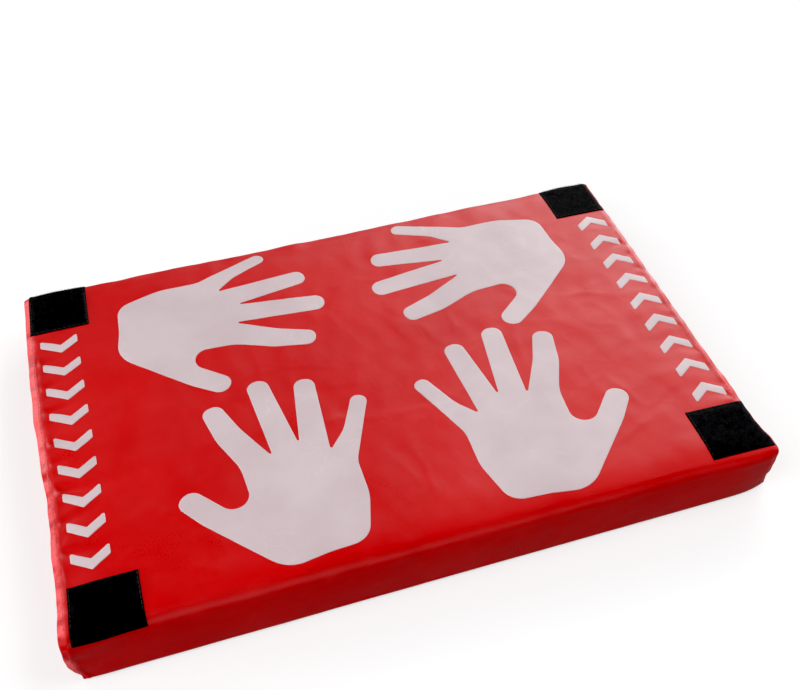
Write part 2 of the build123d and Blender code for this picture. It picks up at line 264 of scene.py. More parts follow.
def remeshed(obj, voxel):
    """Replaces the object's mesh by an even one."""
    remesh = obj.modifiers.new("remesh", "REMESH")
    remesh.mode = "VOXEL"
    remesh.voxel_size = voxel
    mesh = evaluated(obj)
    obj.modifiers.clear()
    obj.data = mesh


def simulate():
    """Inflates the pad's form as cloth held at its end seams and underside. Returns a function that
    gives how far the cloth moved at points of the plain form."""
    form = linked("pad_form", prism())
    remeshed(form, VOXEL)
    rest = positions(form.data)
    held = np.abs(rest[:, 0]) > HALF_L - FLANGE - 4 * MM                            # end seams
    held |= rest[:, 2] < LOW + 3 * MM                                               # underside
    held |= (rest[:, 1] > HALF_W - 4 * MM) & (rest[:, 2] < BACK_HEM + 8 * MM)       # zipper
    group = form.vertex_groups.new(name="held")
    group.add([int(i) for i in np.nonzero(held)[0]], 1.0, "REPLACE")
    cloth = form.modifiers.new("cloth", "CLOTH")
    rules = cloth.settings
    rules.effector_weights.gravity = 0
    rules.use_pressure = True
    rules.uniform_pressure_force = PRESSURE
    rules.vertex_group_mass = "held"
    rules.shrink_min = SLACK
    rules.quality = 5
    rules.tension_stiffness = 15
    rules.compression_stiffness = 15
    rules.shear_stiffness = 5
    rules.bending_stiffness = 2
    scene = bpy.context.scene
    for number in range(1, FRAMES + 1):
        scene.frame_set(number)
    moved = positions(evaluated(form)) - rest
    form.data.calc_loop_triangles()
    corners = np.zeros(3 * len(form.data.loop_triangles), int)
    form.data.loop_triangles.foreach_get("vertices", corners)
    corners = corners.reshape(-1, 3)
    tree = BVHTree.FromPolygons(rest.tolist(), corners.tolist())
    bpy.data.objects.remove(form)
    scene.frame_set(1)

    def at(points):
        out = np.zeros((len(points), 3))
        for i, point in enumerate(points):
            foot, _, face, _ = tree.find_nearest(Vector(point))
            a, b, c = rest[corners[face]]
            u, v, w = b - a, c - a, np.array(foot) - a
            uu, uv, vv, wu, wv = u @ u, u @ v, v @ v, w @ u, w @ v
            scale = uu * vv - uv * uv
            tb = (vv * wu - uv * wv) / scale
            tc = (uu * wv - uv * wu) / scale
            weights = np.array([1 - tb - tc, tb, tc])
            out[i] = weights @ moved[corners[face]]
        return out

    return at


# ---- the form of the stuffed cover ----
CROWN = 1.2 * MM        # cap on how far the foam's crown lifts the cover
CRINKLE = 0.25 * MM     # cap on the finer waves of the simulated cloth
WAVES = [(0.12, 3, 45, 130), (0.05, 4, 14, 34)]     # height, seed, shortest and longest, in mm
CREASE_HIGH = 0.20 * MM
CREASE_WIDE = 0.22      # in the ripple's own units
EDGE_SWAY = 0.35 * MM   # how far the long top edges wander
SEAM_OFF = 8.5 * MM     # the zipper's two seams, from its middle line
SEAM_DEEP = 0.22 * MM
SEAM_WIDE = 1.1 * MM

# the end seams' larger puckers: side, place along Y on the top, slant, then length, depth and width
# in mm at the seam
TOP_PUCKERS = [
    (-1, 37, 0.10, 48, 1.6, 4.0), (-1, 1, -0.25, 40, 1.3, 3.8), (-1, -52, -0.30, 62, 2.2, 4.6),
    (-1, 68, 0.2, 30, 0.9, 3.4), (-1, 101, -0.1, 36, 1.1, 3.6), (-1, -24, 0.15, 30, 1.0, 3.4),
    (-1, -88, 0.2, 44, 1.2, 4.0), (-1, -118, -0.2, 56, 1.5, 4.4), (-1, 128, 0.25, 30, 0.8, 3.4),
    (1, -128, 0.3, 24, 0.8, 3.0), (1, -150, -0.2, 18, 0.6, 3.0), (1, -70, 0.15, 18, 0.4, 2.8),
    (1, -20, -0.15, 20, 0.35, 2.8), (1, 40, 0.2, 22, 0.45, 3.0), (1, 96, -0.2, 20, 0.4, 2.8),
]
# fold marks that show faintly on the top: ends in mm, height
FOLDS = [
    (-70, -45, -8, -58, 0.26), (-8, -58, 62, -64, 0.22), (-14, -96, 26, -70, 0.2),
    (4, -92, 10, -150, 0.26), (10, -150, -22, -178, 0.18), (36, -66, 92, -40, 0.2),
    (150, -92, 196, -70, 0.24), (196, -70, 214, -120, 0.26), (214, -120, 250, -104, 0.18),
    (170, -150, 214, -132, 0.22), (-84, -128, -58, -96, 0.24), (-58, -96, -64, -150, 0.18),
    (-140, 20, -86, 30, 0.2), (-86, 30, -30, 12, 0.18), (-46, 110, 14, 124, 0.2),
    (14, 124, 60, 104, 0.18), (90, 4, 148, 18, 0.22), (148, 18, 190, 2, 0.18),
    (196, 40, 250, 26, 0.26), (190, 74, 246, 88, 0.22), (-210, 60, -176, 96, 0.18),
    (-222, -96, -180, -120, 0.2), (-180, -120, -168, -160, 0.16), (118, -80, 92, -150, 0.18),
    (56, 150, 120, 168, 0.18), (-120, 160, -70, 150, 0.16), (216, 120, 236, 150, 0.2),
]
FOLD_SCALE = 1.25
FOLD_WIDE = 2.4 * MM
FOLD_BEND = 1.2 * MM
FOLD_TURNS = 160
# the top's edge by the end seams: how far it lies over or under the plain form, from the tip inward
DROOP_AT = np.array([0, 1.5, 3, 4.4, 5.6, 6.8, 8.2, 10.5, 15, 22]) * MM
DROOP_LEFT = np.array([-1.9, -1.35, -0.75, -0.2, 0.38, 0.12, -0.22, -0.25, -0.08, 0]) * MM
DROOP_RIGHT = np.array([-1.2, -0.85, -0.5, -0.22, -0.05, -0.05, -0.06, -0.04, -0.01, 0]) * MM
# how far the left end leans out at the top, along Y
LEAN_AT = np.array([-200, -172, -90, -45, -5, 30, 200]) * MM
LEAN = np.array([2.6, 1.2, 0.7, 2.8, 4.8, 6.4, 5.8]) * MM
END_WOBBLE = 0.45 * MM
END_REACH = 14 * MM     # how far in from the ends the lean and the tucks are felt
RIGHT_TIP = 3.2 * MM    # how far the front right corner stands out
FRONT_SAG = 1.4 * MM    # how far the front's top edge sinks into the soft foam
# how far the front left corner draws in, over its height: it swells halfway and tucks under
TUCK_AT = np.array([0, 10, 20, 30, 38, 50]) * MM
TUCK = np.array([7, 0.8, -2, -2.2, -0.8, 0]) * MM
TUCK_RIGHT = 4.0 * MM   # at the floor, for the front right corner
TUCK_BACK = 2.0 * MM    # at the floor, for both back corners
FOOT_SPREAD = 4.0 * MM  # how far the front stands out at its foot, at the left end
FOOT_BACK = 5.0 * MM    # how far it steps back at the right end
# how sharp the pad's long edges are: powers of a superellipse
BACK_EDGE = 9.0
FRONT_EDGE = 2.2
FLOOR_EDGE = 8.0


def pucker(across, along):
    """A valley with raised shoulders that fades out along its length."""
    fade = np.where((along > 0) & (along < 1), (1 - along) ** 2, 0) * ease(along, -0.02, 0.1)
    return (1 - across ** 2) * np.exp(-across ** 2 / 2) * fade


def all_puckers():
    """The listed puckers, and small ones all along both end seams: side, arc length, slant, length,
    depth, width, and how fast the pucker widens."""
    found = [(which, top_s(at * MM), *rest, 1.6) for which, at, *rest in TOP_PUCKERS]
    draw = np.random.default_rng(17)
    for which in (-1, 1):
        at = STARTS[2] + 3 * MM
        while at < STARTS[7]:
            slant, length = draw.uniform(-0.35, 0.35), draw.uniform(12, 26)
            depth, width = draw.uniform(0.15, 0.5), draw.uniform(2.2, 3.6)
            found.append((which, at, slant, length, depth, width, 1.0))
            at += draw.uniform(16, 34) * MM
    return found


def cover_form():
    """Where each knot of the grid lies once the cover is stuffed and sewn."""
    s, x = np.meshgrid(S, X, indexing="ij")
    y, z, ny, nz = np.moveaxis(section_at(s), -1, 0)
    end = HALF_L - np.abs(x)
    side = np.sign(x)
    off_floor = ease(nz, -0.9, -0.1)
    by_zip = (y > HALF_W - 1 * MM) * ease(15 * MM - np.abs(z - ZIP_Z), 0, 4 * MM)
    free = off_floor * (1 - by_zip)

    points = np.stack([np.clip(x, -HALF_L + FLANGE, HALF_L - FLANGE), y, z], -1)
    moved = simulate()(points.reshape(-1, 3)).reshape(points.shape)
    lift = moved[..., 1] * ny + moved[..., 2] * nz
    slow = blur(lift, 40)
    h = CROWN * np.tanh(slow / (7 * MM)) + CRINKLE * np.tanh((lift - slow) / (1.6 * MM))

    for high, seed, shortest, longest in WAVES:
        h = h + high * MM * ripple(x, s, seed, shortest * MM, longest * MM)
    creased = ease(ripple(x, s, 10, 60 * MM, 160 * MM), -0.2, 1.0)
    line = np.exp(-np.abs(ripple(x, s, 8, 38 * MM, 90 * MM)) / CREASE_WIDE)
    h = h + CREASE_HIGH * creased * line
    along_edge = hump(s, STARTS[3] + 8 * MM, 12 * MM) + hump(s, TOP_BACK + 8 * MM, 12 * MM)
    h = h + EDGE_SWAY * along_edge * ripple(x, 0 * s, 5, 28 * MM, 120 * MM)

    droop = np.where(side < 0, *(np.interp(end, DROOP_AT, by) for by in (DROOP_LEFT, DROOP_RIGHT)))
    sway = 1 + 0.3 * ripple(s + side, 0 * s, 6, 22 * MM, 80 * MM) * np.where(side < 0, 1, 0.45)
    h = h + droop * sway
    h = h + 0.35 * MM * np.exp(-end / (5 * MM)) * ripple(s - side, 0 * s, 7, 10 * MM, 26 * MM)

    inward = (end - FLANGE) / MM
    for which, at, slant, length, depth, width, widening in all_puckers():
        wide = width * (1 + inward.clip(0) / length * widening)
        across = ((s - at) / MM - slant * inward) / wide
        h = h - depth * MM * pucker(across, inward / length) * (side == which)

    for x0, y0, x1, y1, high in FOLDS:
        a, b = np.array([x0, y0]) * MM, np.array([x1, y1]) * MM
        d = (b - a) / np.linalg.norm(b - a)
        u = (x - a[0]) * d[0] + (s - top_s(0) - a[1]) * d[1]
        v = -(x - a[0]) * d[1] + (s - top_s(0) - a[1]) * d[0]
        t = u / np.linalg.norm(b - a)
        fade = ease(t, -0.15, 0.3) * (1 - ease(t, 0.7, 1.15))
        bend = FOLD_BEND * np.sin(FOLD_TURNS * u)
        h = h + FOLD_SCALE * high * MM * np.exp(-np.abs(v + bend) / FOLD_WIDE) * fade

    # seam lines sink the two flaps at the zipper
    for seam in (ZIP_Z + SEAM_OFF, ZIP_Z - SEAM_OFF):
        h = h - SEAM_DEEP * (y > HALF_W - 1 * MM) * hump(z, seam, SEAM_WIDE)
    h = h * np.maximum(free, 0.12 * off_floor)

    # the long edges are sharper than plain arcs, most of all along the top at the back
    power = np.where(z < HEIGHT / 2, FLOOR_EDGE, np.where(y > 0, BACK_EDGE, FRONT_EDGE))
    radius = np.where(z < HEIGHT / 2, LOW_ROUND, TOP_ROUND)
    full = radius * ((np.abs(ny) ** power + np.abs(nz) ** power) ** (-1 / power) - 1)
    h = h + full
    front_edge = hump(s, (STARTS[3] + TOP_FRONT) / 2, 15 * MM)
    h = h - FRONT_SAG * front_edge * ease(end, 8 * MM, 60 * MM)

    # the left end leans out at the top, the low corners draw in, and the front's foot spreads
    rise = np.clip(z / HEIGHT, 0, 1)
    near_end = np.exp(-(end / END_REACH) ** 1.5)
    wobble = END_WOBBLE * ripple(s, 0 * s, 9, 14 * MM, 60 * MM) * off_floor
    right_out = RIGHT_TIP * (1 - ease(y, -192 * MM, -165 * MM)) - 1.2 * MM * rise + 0.5 * wobble
    out = np.where(side < 0, np.interp(y, LEAN_AT, LEAN) * rise + wobble, right_out)
    upright = ease(np.abs(y), HALF_W - 40 * MM, HALF_W - 2 * MM)
    front_left = np.interp(z, TUCK_AT, TUCK)
    front = np.where(side < 0, front_left, TUCK_RIGHT * (1 - rise))
    drawn = np.where(y > 0, TUCK_BACK * (1 - rise), front)
    shift = side * (out - upright * drawn) * near_end
    spread = -FOOT_SPREAD * (0.5 - x / (2 * HALF_L)) + FOOT_BACK * (side > 0) * near_end
    spread = spread * (1 - rise) * upright * (y < 0)

    return np.stack([x + shift, y + h * ny + spread, z + h * nz], -1)


GRID = cover_form()


def grid_normals(grid):
    ds = np.gradient(grid, axis=0)
    ds[0] = ds[-1] = grid[1] - grid[-2]
    dx = np.gradient(grid, axis=1)
    return unit(np.cross(dx, ds))


NORMALS = grid_normals(GRID)


def place(x, s, h=0.0):
    """Points at a height over the stuffed cover, and the cover's normals there."""
    x, s, h = np.broadcast_arrays(np.asarray(x, float), np.asarray(s, float), np.asarray(h, float))
    s = s % AROUND
    i = np.clip(np.searchsorted(S, s, "right") - 1, 0, len(S) - 2)
    j = np.clip(np.searchsorted(X, x, "right") - 1, 0, len(X) - 2)
    a = ((s - S[i]) / (S[i + 1] - S[i]))[..., None]
    b = ((x - X[j]) / (X[j + 1] - X[j]))[..., None]

    def blend(field):
        low = field[i, j] * (1 - b) + field[i, j + 1] * b
        high = field[i + 1, j] * (1 - b) + field[i + 1, j + 1] * b
        return low * (1 - a) + high * a

    n = unit(blend(NORMALS))
    return blend(GRID) + h[..., None] * n, n


# ---- building meshes ----
def build(name, points, faces, slot, stands_for, body="mat", smooth=True, marks=None):
    """One piece from points and faces, on its body, in place of a CAD node."""
    mesh = bpy.data.meshes.new(name)
    corners = [[int(i) for i in face] for face in faces]
    mesh.from_pydata(np.asarray(points).tolist(), [], corners)
    bm = bmesh.new()
    bm.from_mesh(mesh)
    bmesh.ops.recalc_face_normals(bm, faces=bm.faces)
    bm.to_mesh(mesh)
    bm.free()
    mesh.polygons.foreach_set("use_smooth", [smooth] * len(mesh.polygons))
    for key, values in (marks or {}).items():
        attribute = mesh.attributes.new(key, "FLOAT", "POINT")
        attribute.data.foreach_set("value", np.asarray(values, np.float32))
    mesh.update()
    mesh.materials.append(MATERIALS[slot])
    obj = linked(name, mesh)
    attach(obj, body)
    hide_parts(stands_for)
    return obj


def quads(rows, columns, start=0):
    i = np.arange(rows - 1)[:, None] * columns + np.arange(columns - 1)[None, :] + start
    return np.stack([i, i + columns, i + columns + 1, i + 1], -1).reshape(-1, 4).tolist()


def belts(steps, sides, first=0):
    """Faces between closed rings of points that follow one another."""
    faces = []
    for near in range(first, first + (steps - 1) * sides, sides):
        for k in range(sides):
            q = (k + 1) % sides
            faces.append([near + k, near + q, near + sides + q, near + sides + k])
    return faces


def tubes(rings):
    """Points and faces of closed tubes, from an array (tube, step, side, xyz)."""
    count, steps, sides = rings.shape[:3]
    faces = []
    for first in range(0, count * steps * sides, steps * sides):
        last = first + (steps - 1) * sides
        faces += belts(steps, sides, first)
        faces += [list(range(first, first + sides))[::-1], list(range(last, last + sides))]
    return rings.reshape(-1, 3), faces


def rings_round(centres, first, second, radii, sides, offset=0.0):
    """Rings of points round paths (tube, step, xyz), in the planes of two directions."""
    turn = math.tau * (np.arange(sides)[:, None] + offset) / sides
    way = first[..., None, :] * np.cos(turn) + second[..., None, :] * np.sin(turn)
    return centres[..., None, :] + np.asarray(radii)[:, None, None] * way


def joined(*pieces):
    """One set of points and faces from several."""
    points, faces = [], []
    for more, theirs in pieces:
        faces += [[i + len(points) for i in face] for face in theirs]
        points += list(more)
    return points, faces


def cap(points, faces, filled, triangles, ring, count):
    """Adds the inside of a ring of points: the first points of the filling are the ring's own."""
    start = len(points)
    points += [tuple(p) for p in filled]
    faces += [[ring + i if i < count else start + i for i in face] for face in triangles]


def without_loose(points, faces):
    """Drops the points that no face uses."""
    used = sorted({i for face in faces for i in face})
    number = {old: new for new, old in enumerate(used)}
    return [points[i] for i in used], [[number[i] for i in face] for face in faces]


def rim(rows, columns):
    """Indices once round the border of a grid."""
    first = list(range(columns))
    right = [r * columns + columns - 1 for r in range(1, rows)]
    last = [(rows - 1) * columns + c for c in range(columns - 2, -1, -1)]
    left = [r * columns for r in range(rows - 2, 0, -1)]
    return first + right + last + left


def shell(outer, inner):
    """Points and faces of a closed sheet between two grids of points."""
    rows, columns = outer.shape[:2]
    count = rows * columns
    points = np.concatenate([outer.reshape(-1, 3), inner.reshape(-1, 3)])
    faces = quads(rows, columns) + [f[::-1] for f in quads(rows, columns, count)]
    ring = rim(rows, columns)
    for a, b in zip(ring, ring[1:] + ring[:1]):
        faces.append([a, b, b + count, a + count])
    return points, faces


def welded(node):
    """A bmesh of a CAD node, with its doubled corners joined."""
    bm = bmesh.new()
    bm.from_mesh(NODES[node].data)
    bmesh.ops.remove_doubles(bm, verts=bm.verts, dist=1e-6)
    return bm


def outlines_of(node, axis):
    """Outlines, as (x, s), of the faces of a CAD node that look along an axis."""
    bm = welded(node)
    bm.normal_update()
    axis = Vector(axis)
    facing = {f for f in bm.faces if f.normal.dot(axis) > 0.9}
    top = max(f.calc_center_median().dot(axis) for f in facing)
    facing = {f for f in facing if f.calc_center_median().dot(axis) > top - 1e-4}
    follow = {}
    for face in facing:
        for loop in face.loops:
            if not any(f in facing for f in loop.edge.link_faces if f is not face):
                follow[loop.vert.index] = loop.link_loop_next.vert.index
    bm.verts.ensure_lookup_table()
    outlines = []
    while follow:
        at = min(follow)
        loop = []
        while at in follow:
            loop.append(tuple(bm.verts[at].co))
            at = follow.pop(at)
        x, y, z = np.array(loop).T
        outlines.append(np.stack([x, unroll(y, z)[0]], -1))
    bm.free()
    return outlines


def resample(points, step):
    """A closed outline as evenly spaced points, its corners kept."""
    points = np.asarray(points)
    out = []
    for a, b in zip(points, np.roll(points, -1, axis=0)):
        count = max(1, round(np.linalg.norm(b - a) / step))
        out += [a + (b - a) * i / count for i in range(count)]
    thin = [out[0]]
    for p in out[1:]:
        if np.linalg.norm(p - thin[-1]) > 0.35 * step:
            thin.append(p)
    return np.array(thin)


def inside(points, outline):
    """Which 2-D points lie inside a closed outline."""
    x, y = points[:, 0][:, None], points[:, 1][:, None]
    a, b = outline, np.roll(outline, -1, axis=0)
    crosses = (a[:, 1] > y) != (b[:, 1] > y)
    slope = np.where(b[:, 1] == a[:, 1], 1, b[:, 1] - a[:, 1])
    at = a[:, 0] + (y - a[:, 1]) / slope * (b[:, 0] - a[:, 0])
    return (crosses & (x < at)).sum(1) % 2 == 1


def gap_to(points, outline):
    """Distance of 2-D points from an outline given by close points."""
    out = np.full(len(points), 1e9)
    for start in range(0, len(outline), 200):
        part = outline[start:start + 200]
        out = np.minimum(out, np.linalg.norm(points[:, None] - part[None], axis=-1).min(1))
    return out


def fill(outline, step, extra=()):
    """Points and triangles inside a 2-D outline. The first points are the outline's own."""
    low, high = outline.min(0), outline.max(0)
    gx, gy = np.meshgrid(np.arange(low[0] + step / 2, high[0], step),
                         np.arange(low[1] + step / 2, high[1], step * 0.87))
    gx = gx + (np.arange(gx.shape[0]) % 2)[:, None] * step / 2
    grid = np.stack([gx.ravel(), gy.ravel()], -1)
    grid = grid[inside(grid, outline)]
    if len(extra):
        grid = grid[gap_to(grid, np.asarray(extra)) > 0.5 * step]
        grid = np.concatenate([grid, extra])
    else:
        grid = grid[gap_to(grid, outline) > 0.45 * step]
    points = np.concatenate([outline, grid])
    count = len(outline)
    edges = [(i, (i + 1) % count) for i in range(count)]
    found = delaunay_2d_cdt([Vector(p) / MM for p in points], edges, [], 0, 1e-5, False)
    flat = np.array([tuple(p) for p in found[0]]) * MM
    faces = np.array([list(f) for f in found[2]])
    faces = faces[inside(flat[faces].mean(1), outline)]
    return flat, faces.tolist()


def open_edges(faces):
    """Edges that belong to one face only, each in its face's direction."""
    seen = {}
    for face in faces:
        for a, b in zip(face, face[1:] + face[:1]):
            seen[(a, b)] = True
    return [e for e in seen if (e[1], e[0]) not in seen]


def inner_ring(outline, inset):
    """Points a little inside a closed outline, one for each of its own, where there is room."""
    along = np.roll(outline, -1, axis=0) - np.roll(outline, 1, axis=0)
    inward = inset * unit(np.stack([-along[:, 1], along[:, 0]], -1))
    if inside(outline + inward, outline).mean() < 0.5:
        inward = -inward
    ring = outline + inward
    return ring[inside(ring, outline) & (gap_to(ring, outline) > 0.8 * inset)]


FILM_RIM = 0.45         # how much of its thickness a film has right at its edge


def film(outlines, low, high, step, crown=0.0):
    """A thin closed sheet on the cover inside outlines given in (x, s)."""
    sheets = []
    for outline in outlines:
        outline = resample(outline, step * 0.6)
        flat, triangles = fill(outline, step, inner_ring(outline, 0.5 * MM))
        edge = gap_to(flat, outline)
        rise = FILM_RIM + (1 - FILM_RIM) * ease(edge, -0.2 * MM, 0.5 * MM)
        level = low + (high - low) * rise + crown * ease(edge, 0, 6 * MM)
        points = np.concatenate([place(*flat.T, level)[0], place(*flat.T, low)[0]])
        count = len(flat)
        faces = triangles + [[count + i for i in face[::-1]] for face in triangles]
        faces += [[a, count + a, count + b, b] for a, b in open_edges(triangles)]
        sheets.append((points, faces))
    return joined(*sheets)


def islands(node):
    """The separate solids of a CAD node, each as its corner points."""
    bm = welded(node)
    seen, found = set(), []
    for vert in bm.verts:
        if vert in seen:
            continue
        seen.add(vert)
        group, stack = [], [vert]
        while stack:
            v = stack.pop()
            group.append(tuple(v.co))
            fresh = [w for e in v.link_edges if (w := e.other_vert(v)) not in seen]
            seen.update(fresh)
            stack += fresh
        found.append(np.array(group))
    bm.free()
    return found


# ---- materials ----
class Nodes:
    """A node tree under construction."""

    def __init__(self, tree):
        self.tree = tree

    def put(self, value, socket):
        """Gives an input a number, a colour or another node's output."""
        if isinstance(value, bpy.types.NodeSocket):
            self.tree.links.new(value, socket)
        elif socket.type == "RGBA":
            socket.default_value = (*value, 1)
        else:
            socket.default_value = value

    def node(self, kind, inputs=None, **settings):
        """A new node with its settings and its inputs, by name or number."""
        made = self.tree.nodes.new(kind)
        for key, value in settings.items():
            setattr(made, key, value)
        for key, value in (inputs or {}).items():
            self.put(value, made.inputs[key])
        return made

    def maths(self, operation, a, b=0.0, clamp=False):
        made = self.node("ShaderNodeMath", {0: a, 1: b}, operation=operation, use_clamp=clamp)
        return made.outputs[0]


class Recipe(Nodes):
    """A node material under construction."""

    def __init__(self, name, colour, roughness, specular=0.5, coat=0.0, sheen=0.0):
        self.material = bpy.data.materials.new(name)
        self.material.use_nodes = True
        self.material.diffuse_color = (*colour, 1)
        super().__init__(self.material.node_tree)
        self.shader = self.tree.nodes["Principled BSDF"]
        self.finish("Base Color", colour)
        self.finish("Roughness", roughness)
        self.finish("Specular IOR Level", specular)
        self.finish("Coat Weight", coat)
        self.finish("Sheen Weight", sheen)
        self.coordinates = self.node("ShaderNodeTexCoord").outputs["Object"]

    def finish(self, key, value):
        """Sets or feeds one of the shader's own inputs."""
        self.put(value, self.shader.inputs[key])

    def noise(self, scale, detail=4.0, rough=0.55, distortion=0.0):
        inputs = {"Vector": self.coordinates, "Scale": scale, "Detail": detail,
                  "Roughness": rough, "Distortion": distortion}
        return self.node("ShaderNodeTexNoise", inputs).outputs["Fac"]

    def bands(self, axis, period, distortion=0.0):
        inputs = {"Vector": self.coordinates, "Scale": math.tau / (20 * period),
                  "Distortion": distortion, "Detail": 1}
        made = self.node("ShaderNodeTexWave", inputs, wave_type="BANDS", bands_direction=axis)
        return made.outputs["Fac"]

    def cells(self, scale, feature="F1", warp=0.0):
        """Cell pattern; the warp, in metres, bends its lines."""
        at = self.coordinates
        if warp:
            bend = self.node("ShaderNodeTexNoise", {"Vector": at, "Scale": scale * 1.3})
            inputs = {0: bend.outputs["Color"], 1: (warp, warp, warp), 2: at}
            at = self.node("ShaderNodeVectorMath", inputs, operation="MULTIPLY_ADD").outputs[0]
        made = self.node("ShaderNodeTexVoronoi", {"Vector": at, "Scale": scale}, feature=feature)
        return made.outputs["Distance"]

    def creases(self):
        """Distance from the fine fold lines that the vinyl and its print share."""
        return self.cells(46, "DISTANCE_TO_EDGE", 0.02)

    def weave(self, period):
        """The weave of the fabric that shows through its coating, on faces of any direction."""
        total = self.maths("ADD", self.bands("X", period), self.bands("Y", period))
        return self.maths("ADD", total, self.bands("Z", period))

    def ramp(self, source, low, high, out_low=0.0, out_high=1.0):
        inputs = {"Value": source, "From Min": low, "From Max": high, "To Min": out_low,
                  "To Max": out_high}
        made = self.node("ShaderNodeMapRange", inputs, interpolation_type="SMOOTHSTEP")
        return made.outputs["Result"]

    def mark(self, name):
        return self.node("ShaderNodeAttribute", attribute_name=name).outputs["Fac"]

    def mix(self, factor, a, b):
        made = self.node("ShaderNodeMix", data_type="RGBA")
        for value, socket in zip((factor, a, b), [s for s in made.inputs if s.enabled]):
            self.put(value, socket)
        return [s for s in made.outputs if s.enabled][0]

    def mottled(self, noise, dark, light):
        """A colour that wanders between two, by a noise."""
        return self.mix(self.ramp(self.noise(*noise), 0.3, 0.7), dark, light)

    def touched(self, base, pattern, amount, colour):
        """A colour with another laid over it where a pattern is high."""
        return self.mix(self.maths("MULTIPLY", pattern, amount), base, colour)

    def uneven(self, low, high, *noise):
        """Roughness between two values, by a noise."""
        self.finish("Roughness", self.ramp(self.noise(*noise), 0.3, 0.7, low, high))

    def bump(self, *layers):
        """Stacks bumps, each a height source, a strength and a depth in metres."""
        under = {}
        for source, strength, depth in layers:
            inputs = {"Height": source, "Strength": strength, "Distance": depth}
            under = {"Normal": self.node("ShaderNodeBump", inputs | under).outputs["Normal"]}
        self.finish("Normal", under["Normal"])


FABRIC = 1.3 * MM       # period of the fabric under the vinyl and the ink


def vinyl():
    r = Recipe("red_coated_vinyl", (0.58, 0.004, 0.005), 0.34)
    slow = r.ramp(r.noise(9, 3), 0.35, 0.68)
    base = r.mix(slow, (0.555, 0.0032, 0.0042), (0.60, 0.0046, 0.0052))
    base = r.touched(base, r.ramp(r.noise(70, 5, 0.6), 0.52, 0.75), 0.35, (0.64, 0.010, 0.010))
    # the pale pink mixed in here is painted highlight on the end seams' flange bands, and rubbed
    # wear along the front and back edges
    highlight_and_wear = r.maths("MULTIPLY", r.mark("wear_and_highlight"), r.ramp(r.noise(420, 6, 0.7), 0.18, 0.54), True)
    r.finish("Base Color", r.mix(highlight_and_wear, base, (0.95, 0.13, 0.14)))
    smudge = r.ramp(r.noise(14, 5, 0.6, 0.6), 0.3, 0.7, 0.29, 0.40)
    grain = r.ramp(r.noise(900, 3), 0.3, 0.7, -0.03, 0.05)
    dull = r.maths("ADD", r.maths("ADD", smudge, grain), r.maths("MULTIPLY", highlight_and_wear, 0.12))
    r.finish("Roughness", dull)
    r.bump(
        (r.ramp(r.creases(), 0.0, 0.16, 1.0, 0.0), 0.16, 0.16 * MM),
        (r.noise(260, 4, 0.6), 0.28, 0.06 * MM),
        (r.weave(FABRIC), 0.25, 0.035 * MM),
    )
    return r.material


def ink():
    r = Recipe("screen_print_ink", (0.63, 0.52, 0.54), 0.36)
    base = r.mottled((16, 4), (0.60, 0.485, 0.505), (0.66, 0.545, 0.565))
    veins = r.ramp(r.creases(), 0.0, 0.035, 1.0, 0.0)
    veins = r.maths("MULTIPLY", veins, r.ramp(r.noise(20, 2), 0.5, 0.62))
    base = r.touched(base, veins, 0.20, (0.78, 0.72, 0.73))
    pinholes = r.ramp(r.noise(1100, 3, 0.6), 0.70, 0.76)
    r.finish("Base Color", r.touched(base, pinholes, 0.5, (0.62, 0.16, 0.17)))
    r.uneven(0.31, 0.42, 30, 5, 0.6)
    r.bump((veins, 0.2, 0.08 * MM), (r.noise(300, 4), 0.3, 0.05 * MM),
           (r.weave(FABRIC), 0.25, 0.03 * MM))
    return r.material


def hook_nylon():
    r = Recipe("black_hook_nylon", (0.005, 0.005, 0.0055), 0.62, specular=0.12)
    mottle = r.ramp(r.noise(240, 4), 0.35, 0.7)
    r.finish("Base Color", r.mix(mottle, (0.0035, 0.0035, 0.004), (0.0075, 0.0075, 0.008)))
    r.uneven(0.52, 0.75, 500, 3)
    cloth = r.maths("MULTIPLY", r.bands("X", 0.9 * MM), r.bands("Y", 0.7 * MM))
    r.bump((cloth, 0.8, 0.12 * MM), (r.noise(1600, 2), 0.4, 0.03 * MM))
    return r.material


def thread(name, dark, light, specular=0.4):
    r = Recipe(name, light, 0.5, specular=specular, sheen=0.2)
    r.finish("Base Color", r.mix(r.ramp(r.noise(900, 3), 0.35, 0.65), dark, light))
    r.uneven(0.42, 0.6, 700, 2)
    r.bump((r.noise(2600, 2, 0.5), 0.6, 0.03 * MM))
    return r.material


def woven_tape():
    r = Recipe("red_zipper_tape", (0.36, 0.01, 0.014), 0.8, specular=0.25, sheen=0.3)
    ribs = r.maths("MULTIPLY", r.bands("X", 0.8 * MM), r.bands("Z", 0.55 * MM, 0.6))
    base = r.mix(r.ramp(ribs, 0.1, 0.7), (0.22, 0.006, 0.009), (0.42, 0.014, 0.018))
    r.finish("Base Color", r.touched(base, r.noise(160, 4), 0.5, (0.30, 0.010, 0.014)))
    r.uneven(0.72, 0.9, 400, 3)
    r.bump((ribs, 0.9, 0.10 * MM), (r.noise(1800, 3), 0.5, 0.04 * MM))
    return r.material


def moulded():
    r = Recipe("black_moulded_teeth", (0.018, 0.018, 0.02), 0.42)
    r.finish("Base Color", r.mottled((500, 4), (0.014, 0.014, 0.016), (0.030, 0.030, 0.033)))
    r.uneven(0.34, 0.52, 900, 3)
    r.bump((r.noise(2200, 3), 0.4, 0.03 * MM))
    return r.material


def enamel():
    r = Recipe("black_enamelled_metal", (0.02, 0.02, 0.022), 0.32, specular=0.6, coat=0.25)
    chips = r.ramp(r.noise(620, 5, 0.65), 0.66, 0.70)
    base = r.mottled((300, 3), (0.016, 0.016, 0.018), (0.030, 0.030, 0.033))
    r.finish("Base Color", r.mix(chips, base, (0.32, 0.31, 0.30)))
    r.uneven(0.24, 0.42, 800, 4)
    r.bump((r.noise(700, 4), 0.35, 0.04 * MM))
    return r.material


